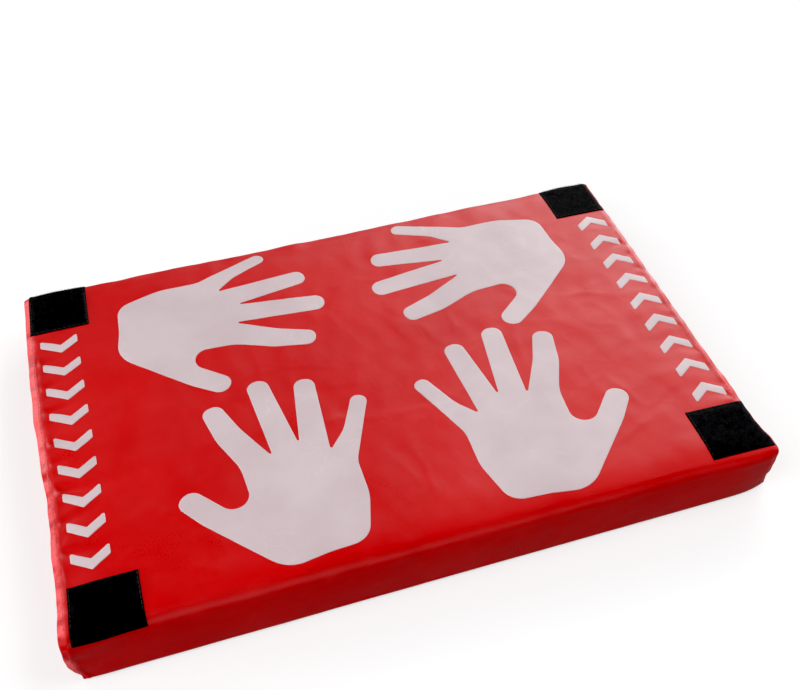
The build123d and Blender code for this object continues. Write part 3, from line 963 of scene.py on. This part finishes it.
def foam(name, dark, light, pores):
    r = Recipe(name, light, 0.92, specular=0.2)
    cell = r.cells(pores)
    r.finish("Base Color", r.mix(r.ramp(cell, 0.1, 0.6), light, dark))
    r.uneven(0.86, 0.97, 300, 3)
    r.bump((cell, 0.7, 0.4 * MM), (r.noise(1300, 3), 0.5, 0.1 * MM))
    return r.material


def antislip():
    r = Recipe("charcoal_antislip_sheet", (0.045, 0.045, 0.05), 0.7, specular=0.35)
    base = r.mottled((24, 5), (0.036, 0.036, 0.040), (0.060, 0.060, 0.066))
    dust = r.ramp(r.noise(160, 6, 0.7), 0.56, 0.8)
    r.finish("Base Color", r.touched(base, dust, 0.35, (0.16, 0.155, 0.15)))
    r.uneven(0.62, 0.82, 400, 4)
    r.bump((r.noise(900, 4), 0.6, 0.08 * MM), (r.weave(1.6 * MM), 0.35, 0.05 * MM))
    return r.material


# the red thread's lighter tone is a pale pink: painted highlight standing in for the glints along
# the stitches
RED_THREAD_WITH_PAINTED_HIGHLIGHT = ((0.55, 0.03, 0.035), (0.80, 0.11, 0.12))
BLACK_THREAD = ((0.004, 0.004, 0.004), (0.010, 0.010, 0.011), 0.2)
MATERIALS = {
    "cover_vinyl": vinyl(),
    "print_ink": ink(),
    "hook_tape": hook_nylon(),
    "thread_red": thread("red_sewing_thread", *RED_THREAD_WITH_PAINTED_HIGHLIGHT),
    "thread_black": thread("black_sewing_thread", *BLACK_THREAD),
    "zip_tape": woven_tape(),
    "zip_teeth": moulded(),
    "zip_metal": enamel(),
    "foam_firm": foam("firm_white_foam", (0.62, 0.62, 0.60), (0.84, 0.84, 0.82), 620),
    "foam_soft": foam("soft_cream_foam", (0.66, 0.60, 0.44), (0.86, 0.82, 0.68), 460),
    "base_antislip": antislip(),
}


# ---- camera and light; azimuths run from +Y toward +X, all angles in degrees ----
EYE = (-0.1673, -0.6560, 0.7643)
EYE_FROM = (196.25, 45.32)
EYE_ROLL = -1.24
LENS = 48.07
# name, azimuth, elevation, distance, width, height, power, and whether the gloss mirrors it
LAMPS = [
    ("left_key", -112, 50, 2.6, 1.6, 1.6, 25, False),
    ("left_low", -96, 9, 2.0, 1.0, 0.25, 20, True),
    ("right_key", 100, 48, 2.6, 1.6, 1.6, 28.5, False),
    ("front_fill", 184, 16, 2.6, 2.4, 1.4, 17.5, False),
    ("back_left", -42, 28, 2.0, 0.5, 0.4, 5, True),
    ("right_low", 58, 12, 2.0, 1.0, 0.25, 5, True),
]
AIM = Vector((0, 0, 0.03))
GLOW_AT = (35, 26)
GLOW_NARROW = 26.0
GLOW_BRIGHT = 5.8
WORLD_DIM = 0.07
FROM_BELOW = 0.16       # what the upright faces mirror of the floor
BLACK = 0.0105


def heading(azimuth, elevation):
    a, e = math.radians(azimuth), math.radians(elevation)
    return Vector((math.sin(a) * math.cos(e), math.cos(a) * math.cos(e), math.sin(e)))


def staged(name, bm, material):
    """An object of the stage, made from a bmesh."""
    mesh = bpy.data.meshes.new(name)
    bm.to_mesh(mesh)
    bm.free()
    mesh.materials.append(material)
    obj = linked(name, mesh)
    return obj


def eye():
    camera = bpy.data.cameras.new("camera")
    camera.lens = LENS
    camera.sensor_width = 36
    camera.clip_start = 0.02
    camera.clip_end = 50
    back = heading(*EYE_FROM)
    right = Vector((0, 0, 1)).cross(back).normalized()
    turn = Matrix((right, back.cross(right), back)).transposed().to_4x4()
    roll = Matrix.Rotation(math.radians(EYE_ROLL), 4, "Z")
    obj = linked("camera", camera)
    obj.matrix_world = Matrix.Translation(EYE) @ turn @ roll
    bpy.context.scene.camera = obj


def lamp(name, azimuth, elevation, distance, width, height, power, mirrored):
    data = bpy.data.lights.new(name, "AREA")
    data.shape = "RECTANGLE"
    data.size, data.size_y = width, height
    data.energy = power
    way = heading(azimuth, elevation)
    obj = linked(name, data)
    obj.location = way * distance + AIM
    obj.rotation_mode = "QUATERNION"
    obj.rotation_quaternion = way.to_track_quat("Z", "Y")
    obj.visible_glossy = mirrored


def surroundings():
    """A dim world, with one soft glow low behind the right end."""
    world = bpy.data.worlds.new("studio")
    world.use_nodes = True
    w = Nodes(world.node_tree)
    way = w.node("ShaderNodeTexCoord").outputs["Generated"]
    toward = {0: way, 1: heading(*GLOW_AT)}
    toward = w.node("ShaderNodeVectorMath", toward, operation="DOT_PRODUCT").outputs["Value"]
    spread = w.maths("MULTIPLY", w.maths("SUBTRACT", toward, 1.0), GLOW_NARROW)
    glow = w.maths("MULTIPLY", w.maths("EXPONENT", spread), GLOW_BRIGHT)
    height = w.node("ShaderNodeSeparateXYZ", {0: way}).outputs["Z"]
    below = w.maths("MAXIMUM", w.maths("MULTIPLY", height, -FROM_BELOW), 0.0)
    strength = w.maths("ADD", below, w.maths("ADD", glow, WORLD_DIM))
    background = w.tree.nodes["Background"]
    w.put((1, 1, 1), background.inputs["Color"])
    w.put(strength, background.inputs["Strength"])
    bpy.context.scene.world = world


def floor():
    """A pale floor that grows lighter away from the mat. It doesn't light the mat: the photographed
    mat stood over something dark."""
    r = Recipe("pale_floor", (0.45, 0.45, 0.45), 0.8, specular=0.1)
    r.finish("Base Color", r.mix(r.noise(3, 2), (0.445, 0.445, 0.445), (0.455, 0.455, 0.455)))
    r.finish("Emission Color", (1, 1, 1))
    away = r.node("ShaderNodeVectorMath", {0: r.coordinates}, operation="LENGTH").outputs["Value"]
    r.finish("Emission Strength", r.ramp(away, 0.5, 2.4, 0.58, 1.03))
    bm = bmesh.new()
    bmesh.ops.create_grid(bm, x_segments=8, y_segments=8, size=6)
    obj = staged("floor", bm, r.material)
    obj.location.z = -0.2 * MM
    obj.visible_diffuse = False
    obj.visible_glossy = False


def backdrop():
    """A pale half sphere that only the camera sees."""
    r = Recipe("pale_backdrop", (0.0, 0.0, 0.0), 1.0, specular=0.0)
    r.finish("Base Color", r.mix(r.noise(1, 1), (0.0, 0.0, 0.0), (0.01, 0.01, 0.01)))
    r.finish("Emission Color", (1, 1, 1))
    r.finish("Emission Strength", 1.0)
    bm = bmesh.new()
    bmesh.ops.create_uvsphere(bm, u_segments=48, v_segments=24, radius=5.8)
    low = [v for v in bm.verts if v.co.z < -1 * MM]
    bmesh.ops.delete(bm, geom=low, context="VERTS")
    obj = staged("backdrop", bm, r.material)
    for ray in ("diffuse", "glossy", "transmission", "volume_scatter", "shadow"):
        setattr(obj, f"visible_{ray}", False)


def studio():
    eye()
    for row in LAMPS:
        lamp(*row)
    surroundings()
    floor()
    backdrop()
    view = bpy.context.scene.view_settings
    view.view_transform = "Standard"
    view.use_curve_mapping = True
    view.curve_mapping.black_level = (BLACK, BLACK, BLACK)
    view.curve_mapping.update()


studio()


# ---- the cover ----
# how much the cover is lightened to a pale pink: at the left and right end seams, as painted
# highlight on the flange bands with a little wear, and along the front and back edges, as wear
ENDS_HIGHLIGHT_AND_WEAR = (3.0, 1.0)
WEAR_FRONT = 0.05
WEAR_BACK = 0.3


def cover_sheet(name, first, last, node):
    """A length of the cover's skin, between two arc lengths, as a closed sheet of fabric."""
    rows = np.nonzero((S > first - 1e-6) & (S < last + 1e-6))[0]
    s, x = np.meshgrid(S[rows], X, indexing="ij")
    outer = GRID[rows]
    inner = outer - SHEET * NORMALS[rows]
    lap = (s < STARTS[1]) | (s > STARTS[8])
    inner[..., 2] = np.where(lap, np.minimum(inner[..., 2], LOW + SHEET), inner[..., 2])
    # at the ends the lightening is painted highlight on the flange bands, stronger at the left end
    edges = np.where(x < 0, *ENDS_HIGHLIGHT_AND_WEAR) * np.exp(-((HALF_L - np.abs(x)) / (5.4 * MM)) ** 4)
    edges += WEAR_FRONT * hump(s, STARTS[3] + 6 * MM, 5 * MM)
    edges += WEAR_BACK * hump(s, TOP_BACK + 9 * MM, 5 * MM)
    wear_and_highlight = 0.5 * edges * (0.6 + 0.4 * ripple(x, s, 12, 8 * MM, 60 * MM))
    wear_and_highlight = np.clip(np.tile(wear_and_highlight.ravel(), 2), 0, 1)
    return build(name, *shell(outer, inner), "cover_vinyl", node, marks={"wear_and_highlight": wear_and_highlight})


cover = cover_sheet("cover_wrap_skin", LAP_FRONT, BACK_HIGH, "cover_wrap")
cover_sheet("cover_back_strip_skin", BACK_LOW, LAP_BACK, "cover_back_strip")


SIDES = {"left": -1, "right": 1}
PANEL_BULGE = 3.0 * MM
PANEL_WAVES = 0.35 * MM
PANEL_GATHERS = 0.30 * MM
PANEL_THICK = 0.65 * MM


def end_panel(word):
    """The end of the cover: a panel that bulges a little, its edges turned out in the flange."""
    side = SIDES[word]
    ring_s = stretch(list(S), [3 * MM] * (len(S) - 1))[:-1]
    depths = np.array([0.4, 1.4, 2.6, 3.8, 4.8, 5.4]) * MM
    hidden = SHEET + 0.8 * MM
    walls = [place(side * (HALF_L - d), ring_s, -hidden)[0] for d in depths]
    corner = place(side * (HALF_L - FLANGE), ring_s, -hidden - 0.7 * MM)[0]
    points = list(np.concatenate([*walls, corner]))
    count = len(ring_s)
    faces = belts(len(walls) + 1, count)

    seam_x, outline = corner[:, 0], corner[:, 1:]
    flat, triangles = fill(outline, 3.2 * MM)
    edge = gap_to(flat, resample(outline, 1 * MM))
    x = seam_x[[np.argmin(np.linalg.norm(outline - p, axis=1)) for p in flat]]
    x = x + (side * PANEL_X - x) * ease(edge, 0, 24 * MM)
    waves = PANEL_WAVES * ease(edge, 0, 6 * MM)
    gathers = PANEL_GATHERS * np.exp(-edge / (7 * MM)) * ease(edge, 0, 1.5 * MM)
    bulge = PANEL_BULGE * (1 - np.exp(-edge / (9 * MM)))
    bulge += waves * ripple(*flat.T, 21 + side, 16 * MM, 60 * MM)
    bulge += gathers * ripple(flat[:, 0], 0 * edge, 23 + side, 9 * MM, 24 * MM)
    panel = np.column_stack([x + side * bulge, flat])
    cap(points, faces, panel, triangles, len(walls) * count, count)
    sheet = without_loose(points, faces)
    obj = build(f"cover_end_{word}_panel", *sheet, "cover_vinyl", f"cover_end_{word}")

    def outward(face):
        x, y, z = face.center
        return side * x - abs(y) - abs(z - HEIGHT / 2)

    if max(obj.data.polygons, key=outward).normal.x * side < 0:
        obj.data.flip_normals()
    solid = obj.modifiers.new("thickness", "SOLIDIFY")
    solid.thickness = PANEL_THICK
    solid.offset = -1
    obj.data = evaluated(obj)
    obj.modifiers.clear()


for word in SIDES:
    end_panel(word)


# ---- prints ----
CORNERS = ("back_left", "back_right", "front_left", "front_right")


def printed(name, node):
    sheet = film(outlines_of(node, (0, 0, 1)), 0.02 * MM, 0.24 * MM, 2.4 * MM)
    build(name, *sheet, "print_ink", node)


for corner in CORNERS:
    printed(f"hand_ink_{corner}", f"hand_print_{corner}")
for word in SIDES:
    printed(f"chevron_ink_{word}", f"marking_strip_{word}")


# ---- hook-tape squares ----
SQUARE_TURN = {"back_left": -1.0, "back_right": 0.5, "front_left": 0.0, "front_right": -1.0}
SQUARE_KNOTS = np.array([0, 0.35, 0.9, 1.7, 2.5, 2.8, 4.0]) * MM
KNOTS_TO = 5.2 * MM
KNOT_STEP = 2.2 * MM
HOOK_PITCH = 1.55 * MM
HOOK_MARGIN = 3.1 * MM
HOOK_FOOT = 0.80 * MM
# a hook's line from its foot, ahead and up, and how thick it is there
HOOK_LINE = np.array([(0, 0), (0, 0.42), (0.03, 0.78), (0.17, 1.06), (0.40, 1.16), (0.58, 1.02),
                      (0.63, 0.82)]) * MM
HOOK_THICK = np.array([0.15, 0.13, 0.12, 0.115, 0.11, 0.10, 0.07]) * MM


def backing(on_cover, half):
    """The square's woven ground, drawn in along its stitches."""
    knots = []
    for size in half:
        count = max(3, round(2 * (size - KNOTS_TO) / KNOT_STEP))
        inner = np.linspace(-size + KNOTS_TO, size - KNOTS_TO, count)
        knots.append(np.concatenate([-size + SQUARE_KNOTS, inner, (size - SQUARE_KNOTS)[::-1]]))
    u, v = np.meshgrid(*knots, indexing="ij")
    inset = np.minimum(half[0] - np.abs(u), half[1] - np.abs(v))
    level = 0.45 * MM + 0.35 * MM * ease(inset, 0, 0.9 * MM)
    level -= 0.14 * MM * hump(inset, 1.3 * MM, 0.4 * MM)
    level += 0.12 * MM * ease(inset, 2.5 * MM, 2.9 * MM)
    level += 0.05 * MM * ripple(u, v, 31, 5 * MM, 14 * MM)
    x, s = on_cover(u, v, 0.05 * MM)
    return shell(place(x, s, level)[0], place(x, s, 0.03 * MM)[0])


def hooks(on_cover, half):
    """Rows of small hooks that point both ways."""
    columns, rows = (2 * (half - HOOK_MARGIN) / HOOK_PITCH).astype(int)
    i, j = np.meshgrid(np.arange(columns), np.arange(rows), indexing="ij")
    draw = np.random.default_rng(51)
    u = (i + 0.5 - columns / 2) * HOOK_PITCH + draw.uniform(-0.12, 0.12, i.shape) * MM
    v = (j + 0.5 + 0.25 * (i % 2) - rows / 2) * HOOK_PITCH
    v = v + draw.uniform(-0.12, 0.12, i.shape) * MM
    x, s = on_cover(u.ravel(), v.ravel(), 0.3 * MM)
    base, n = place(x, s, HOOK_FOOT)
    right = unit(place(x + 0.5 * MM, s, HOOK_FOOT)[0] - base)
    turn = draw.uniform(-0.5, 0.5, len(x)) + np.where((i + j).ravel() % 2 == 0, 0, math.pi)
    lean = right * np.cos(turn)[:, None] + np.cross(n, right) * np.sin(turn)[:, None]
    scale = draw.uniform(0.9, 1.06, len(x))[:, None, None]
    base, n, lean = base[:, None], n[:, None], lean[:, None]
    ahead, up = HOOK_LINE.T[..., None]
    along_ahead, along_up = unit(np.gradient(HOOK_LINE, axis=0)).T[..., None]
    line = base + scale * (lean * ahead + n * up)
    outward = lean * along_up - n * along_ahead
    return tubes(rings_round(line, outward, np.cross(n, lean), HOOK_THICK, 4, 0.5))


def hook_square(corner):
    """A square of hook tape sewn on the cover: a woven ground and its field of small hooks."""
    node = f"hook_patch_{corner}"
    points = positions(NODES[node].data)
    x, y, z = points[points[:, 2] < HEIGHT + 1.0 * MM].T
    s = unroll(y, np.minimum(z, HEIGHT + 0.8 * MM))[0]
    angle = math.radians(SQUARE_TURN[corner])
    axes = np.array([[math.cos(angle), math.sin(angle)], [-math.sin(angle), math.cos(angle)]])
    local = np.stack([x, s], -1) @ axes.T
    middle = (local.min(0) + local.max(0)) / 2
    half = (local.max(0) - local.min(0)) / 2

    def on_cover(u, v, clear):
        """Where a place in the square lies on the cover, kept clear of the end seams' tips."""
        flat = (np.stack([u, v], -1) + middle) @ axes
        return np.clip(flat[..., 0], clear - HALF_L, HALF_L - clear), flat[..., 1]

    whole = joined(backing(on_cover, half), hooks(on_cover, half))
    build(f"hook_square_{corner}", *whole, "hook_tape", node)


for corner in CORNERS:
    hook_square(corner)


# ---- stitches ----
STITCH_REACH = 1.75 * MM
STITCH_ARCH = np.array([0.02, 0.17, 0.21, 0.22, 0.21, 0.17, 0.02]) * MM
PLY_THICK = np.array([0.12, 0.17, 0.18, 0.18, 0.18, 0.18, 0.18, 0.17, 0.12]) * MM
PLY_APART = 0.15 * MM
PLY_TURNS = 1.4


def sewn(name, node, slot, shift=0.0, sink=0.28 * MM):
    """Two-ply stitches where the CAD has its plain ones, dipping into the cover at both ends."""
    solids = islands(node)
    middles = np.array([g.mean(0) for g in solids])
    ways = np.array([np.linalg.svd(g - g.mean(0), full_matrices=False)[2][0] for g in solids])
    lift = unroll(middles[:, 1], middles[:, 2])[1] - 0.2 * MM
    t = np.linspace(0, 1, len(PLY_THICK))
    first, last = (middles + ways * d for d in (-STITCH_REACH, STITCH_REACH))
    x0, x1 = first[:, :1], last[:, :1]
    s0, s1 = (unroll(end[:, 1:2], end[:, 2:])[0] for end in (first, last))
    x = x0 + (x1 - x0) * t
    s = s0 + (s1 - s0) * t
    draw = np.random.default_rng(61)
    x = x + np.sign(x) * shift + draw.uniform(-0.1, 0.1, (len(solids), 1)) * MM
    arch = np.array([-sink, *STITCH_ARCH, -sink])
    centre, n = place(np.clip(x, -HALF_L, HALF_L), s, lift[:, None] + arch)
    along = unit(np.gradient(centre, axis=1))
    across = unit(np.cross(n, along))
    lifted = np.cross(along, across)
    plies = []
    for start in (0, math.pi):
        twist = (start + t * math.tau * PLY_TURNS)[:, None]
        line = centre + PLY_APART * (across * np.cos(twist) + 0.7 * lifted * np.sin(twist))
        plies.append(tubes(rings_round(line, across, lifted, PLY_THICK, 6)))
    build(name, *joined(*plies), slot, node)


for word in SIDES:
    sewn(f"end_stitches_{word}", f"end_seam_thread_{word}", "thread_red", shift=-1.4 * MM)
sewn("base_stitches", "base_seam_thread", "thread_red", sink=0.1 * MM)
sewn("zip_stitches", "zip_seam_thread", "thread_red")
for corner in CORNERS:
    node = f"patch_thread_{corner}"
    sewn(f"square_stitches_{corner}", node, "thread_black", sink=0.2 * MM)


# ---- base ----
BASE_ROUND = 17 * MM
# the seam's groove round the base: how far in from its edge and how high it is, in mm
GROOVE = [(0, 0.75), (0.7, 0.40), (3.2, 0.40), (3.6, 0.72), (4.4, 0.72), (4.8, 0.40)]
BASE_FACE = 0.40 * MM
# a stud's radii and heights
STUD_SIZES = np.array([1.75, 1.45, 0.95]) * MM
STUD_LEVELS = np.array([0.44, 0.10, 0.0]) * MM
STUD_PITCH = 9.5 * MM


def rounded_rectangle(half, radius, step):
    out = []
    for cx, cy, start in ((1, 1, 0), (-1, 1, 90), (-1, -1, 180), (1, -1, 270)):
        count = max(4, round(radius * math.pi / 2 / step))
        a = np.radians(start + 90 * np.arange(count + 1) / count)
        out.append((half - radius) * (cx, cy) + radius * np.stack([np.cos(a), np.sin(a)], -1))
    return resample(np.concatenate(out), step)


def at_level(flat, z):
    return np.column_stack([flat, np.full(len(flat), z)])


def studs(half):
    """Rows of low round studs, each row half a pitch over from the last."""
    first, last = 12 * MM - half, half - 11 * MM
    at = []
    for row, y in enumerate(np.arange(first[1], last[1], 0.866 * STUD_PITCH)):
        for x in np.arange(first[0] + row % 2 * STUD_PITCH / 2, last[0], STUD_PITCH):
            at.append([(x, y, z) for z in STUD_LEVELS])
    along_x, along_y, _ = np.eye(3)
    return tubes(rings_round(np.array(at), along_x, along_y, STUD_SIZES, 8))


def base_sheet():
    """The anti-slip underside: a sheet with a sewn groove round it and rows of low studs."""
    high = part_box("cover_base")[1]
    half = np.array([high.x, high.y])
    outer = rounded_rectangle(half, BASE_ROUND, 4 * MM)
    core = np.clip(outer, BASE_ROUND - half, half - BASE_ROUND)
    loops = []
    for inset, _ in GROOVE:
        loop = core + (outer - core) * (BASE_ROUND - inset * MM) / BASE_ROUND
        s = np.where(loop[:, 1] < 0, -loop[:, 1], AROUND - loop[:, 1])
        loops.append(place(loop[:, 0], s)[0][:, :2])
    points = [p for loop, (_, z) in zip(loops, GROOVE) for p in at_level(loop, z * MM)]
    count = len(outer)
    faces = belts(len(loops), count)
    flat, triangles = fill(loops[-1], 22 * MM)
    cap(points, faces, at_level(flat, BASE_FACE), triangles, (len(loops) - 1) * count, count)
    # the upper face, against the cover's lap
    upper = len(points)
    points += list(at_level(loops[0], high.z))
    flat, triangles = fill(loops[0], 40 * MM)
    cap(points, faces, at_level(flat, high.z), triangles, upper, count)
    for i in range(count):
        j = (i + 1) % count
        faces.append([i, upper + i, upper + j, j])
    whole = without_loose(*joined((points, faces), studs(half)))
    build("antislip_base", *whole, "base_antislip", "cover_base", smooth=False)


base_sheet()


# ---- foam ----
FOAM_VOXEL = 5 * MM
FOAM_CLEAR = 0.35 * MM      # how much its upper and lower faces are drawn in
FOAM_SHORT = 1.6 * MM       # how much its ends are drawn in
FOAM_DEPTH = 22 * MM        # how deep the stuffed cover's form is felt


def foam_slab(name, node, slot, seed):
    """A cut slab of foam, with softened edges and the slight unevenness of a sawn face."""
    obj = linked(name, NODES[node].data.copy())
    remeshed(obj, FOAM_VOXEL)
    mesh = obj.data
    p = positions(mesh)
    middle = (p.min(0) + p.max(0)) / 2
    wander = 0.25 * MM * ripple(p[:, 0], p[:, 1], seed, 30 * MM, 110 * MM)
    p[:, 2] += np.where(p[:, 2] > middle[2], -FOAM_CLEAR, FOAM_CLEAR) + wander
    reach = np.abs(p[:, :2])
    p[:, :2] -= np.sign(p[:, :2]) * 0.4 * MM * (reach > reach.max(0) - 6 * MM)
    # the slab follows the stuffed cover, less and less with depth
    x = np.clip(p[:, 0], -HALF_L + 7 * MM, HALF_L - 7 * MM)
    s, h = unroll(p[:, 1], p[:, 2])
    follow = place(x, s, h)[0]
    plain = section_at(s)
    moved = follow[:, 1:] - plain[:, :2] - h[:, None] * plain[:, 2:]
    weight = np.exp(h / FOAM_DEPTH)
    near_skin = (h > -4 * MM)[:, None]
    p[:, 1:] += weight[:, None] * moved - 0.5 * MM * plain[:, 2:] * near_skin
    p[:, 0] += weight * (follow[:, 0] - x)
    near_end = ease(np.abs(p[:, 0]), HALF_L - 30 * MM, HALF_L - 12 * MM)
    p[:, 0] -= np.sign(p[:, 0]) * FOAM_SHORT * near_end
    mesh.vertices.foreach_set("co", p.ravel())
    mesh.polygons.foreach_set("use_smooth", [True] * len(mesh.polygons))
    mesh.materials.clear()
    mesh.materials.append(MATERIALS[slot])
    mesh.update()
    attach(obj, "mat")
    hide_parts(node)


foam_slab("foam_slab_upper", "foam_upper", "foam_firm", 71)
foam_slab("foam_slab_lower", "foam_lower", "foam_soft", 72)


# ---- zipper ----
def zip_tape(name, node):
    """A woven tape with a thicker beaded edge by the teeth."""
    low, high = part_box(node)
    inner, way = (low.z, 1) if low.z > ZIP_Z else (high.z, -1)
    z = np.array([0, 0.25, 0.6, 1.0, 1.4, 2.2, 4, 6, 8, 10, 11.4, 11.9]) * MM
    thick = np.array([0.16, 0.26, 0.30, 0.27, 0.2, 0.18, 0.18, 0.18, 0.18, 0.18, 0.16, 0.1]) * MM
    gx, gz = np.meshgrid(np.linspace(low.x, high.x, 240), z)
    sway = 0.05 * MM * ripple(gx, gz, 81, 20 * MM, 70 * MM) * ease(gz, 1.4 * MM, 4 * MM)
    middle = (low.y + high.y) / 2 + sway
    front, back = (np.stack([gx, middle + half, inner + way * gz], -1)
                   for half in (thick[:, None], -thick[:, None]))
    build(name, *shell(front, back), "zip_tape", node)


# a tooth from its head to its foot: reach from the zipper's middle line, half width and half depth
TOOTH = np.array([
    (-0.78, 0.34, 0.50), (-0.62, 0.55, 0.80), (-0.2, 0.66, 1.0), (0.25, 0.62, 1.06),
    (0.75, 0.46, 0.92), (1.2, 0.50, 0.98), (1.6, 0.62, 1.08), (2.5, 0.66, 1.09),
    (2.85, 0.58, 0.95), (2.98, 0.42, 0.7),
]) * MM
TOOTH_SIDES = 10
TOOTH_SQUARE = 0.55     # power that squares a tooth's round section


def teeth(name, node):
    """Moulded teeth, each with a head, a neck and a foot clamped on the tape's bead."""
    low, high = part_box(node)
    way = 1 if (low.z + high.z) / 2 > ZIP_Z else -1
    turn = math.tau * (np.arange(TOOTH_SIDES) + 0.5) / TOOTH_SIDES
    c, s = (np.sign(v) * np.abs(v) ** TOOTH_SQUARE for v in (np.cos(turn), np.sin(turn)))
    reach, wide, deep = TOOTH.T[..., None]
    ring = np.stack([wide * c, (low.y + high.y) / 2 + deep * s, ZIP_Z + way * reach + 0 * c], -1)
    middles = sorted({round(float(g[:, 0].min() + g[:, 0].max()) / 2, 5) for g in islands(node)})
    rings = np.array([ring + (x, 0, 0) for x in middles])
    build(name, *tubes(rings), "zip_teeth", node)


def end_tab(word):
    """The vinyl tab over one end of the zipper, which runs on into the end seam."""
    node = f"zip_end_tab_{word}"
    outlines = outlines_of(node, (0, 1, 0))
    for x in (outline[:, 0] for outline in outlines):
        outer = np.abs(x) > np.abs(x).mean()
        x[outer] += np.sign(x[outer]) * (HALF_L - 0.8 * MM - np.abs(x).max())
    sheet = film(outlines, 0.03 * MM, 0.85 * MM, 1.6 * MM, crown=0.35 * MM)
    build(f"end_tab_{word}_vinyl", *sheet, "cover_vinyl", node)


for row in ("upper", "lower"):
    zip_tape(f"woven_tape_{row}", f"zip_tape_{row}")
for row in ("upper", "lower"):
    teeth(f"moulded_teeth_{row}", f"zip_teeth_{row}")
for word in SIDES:
    end_tab(word)

for node in ("zip_top_stops", "zip_bottom_stop", "slider_body", "slider_crown", "pull_tab"):
    for item in NODES[node].material_slots:
        item.material = MATERIALS["zip_metal"]
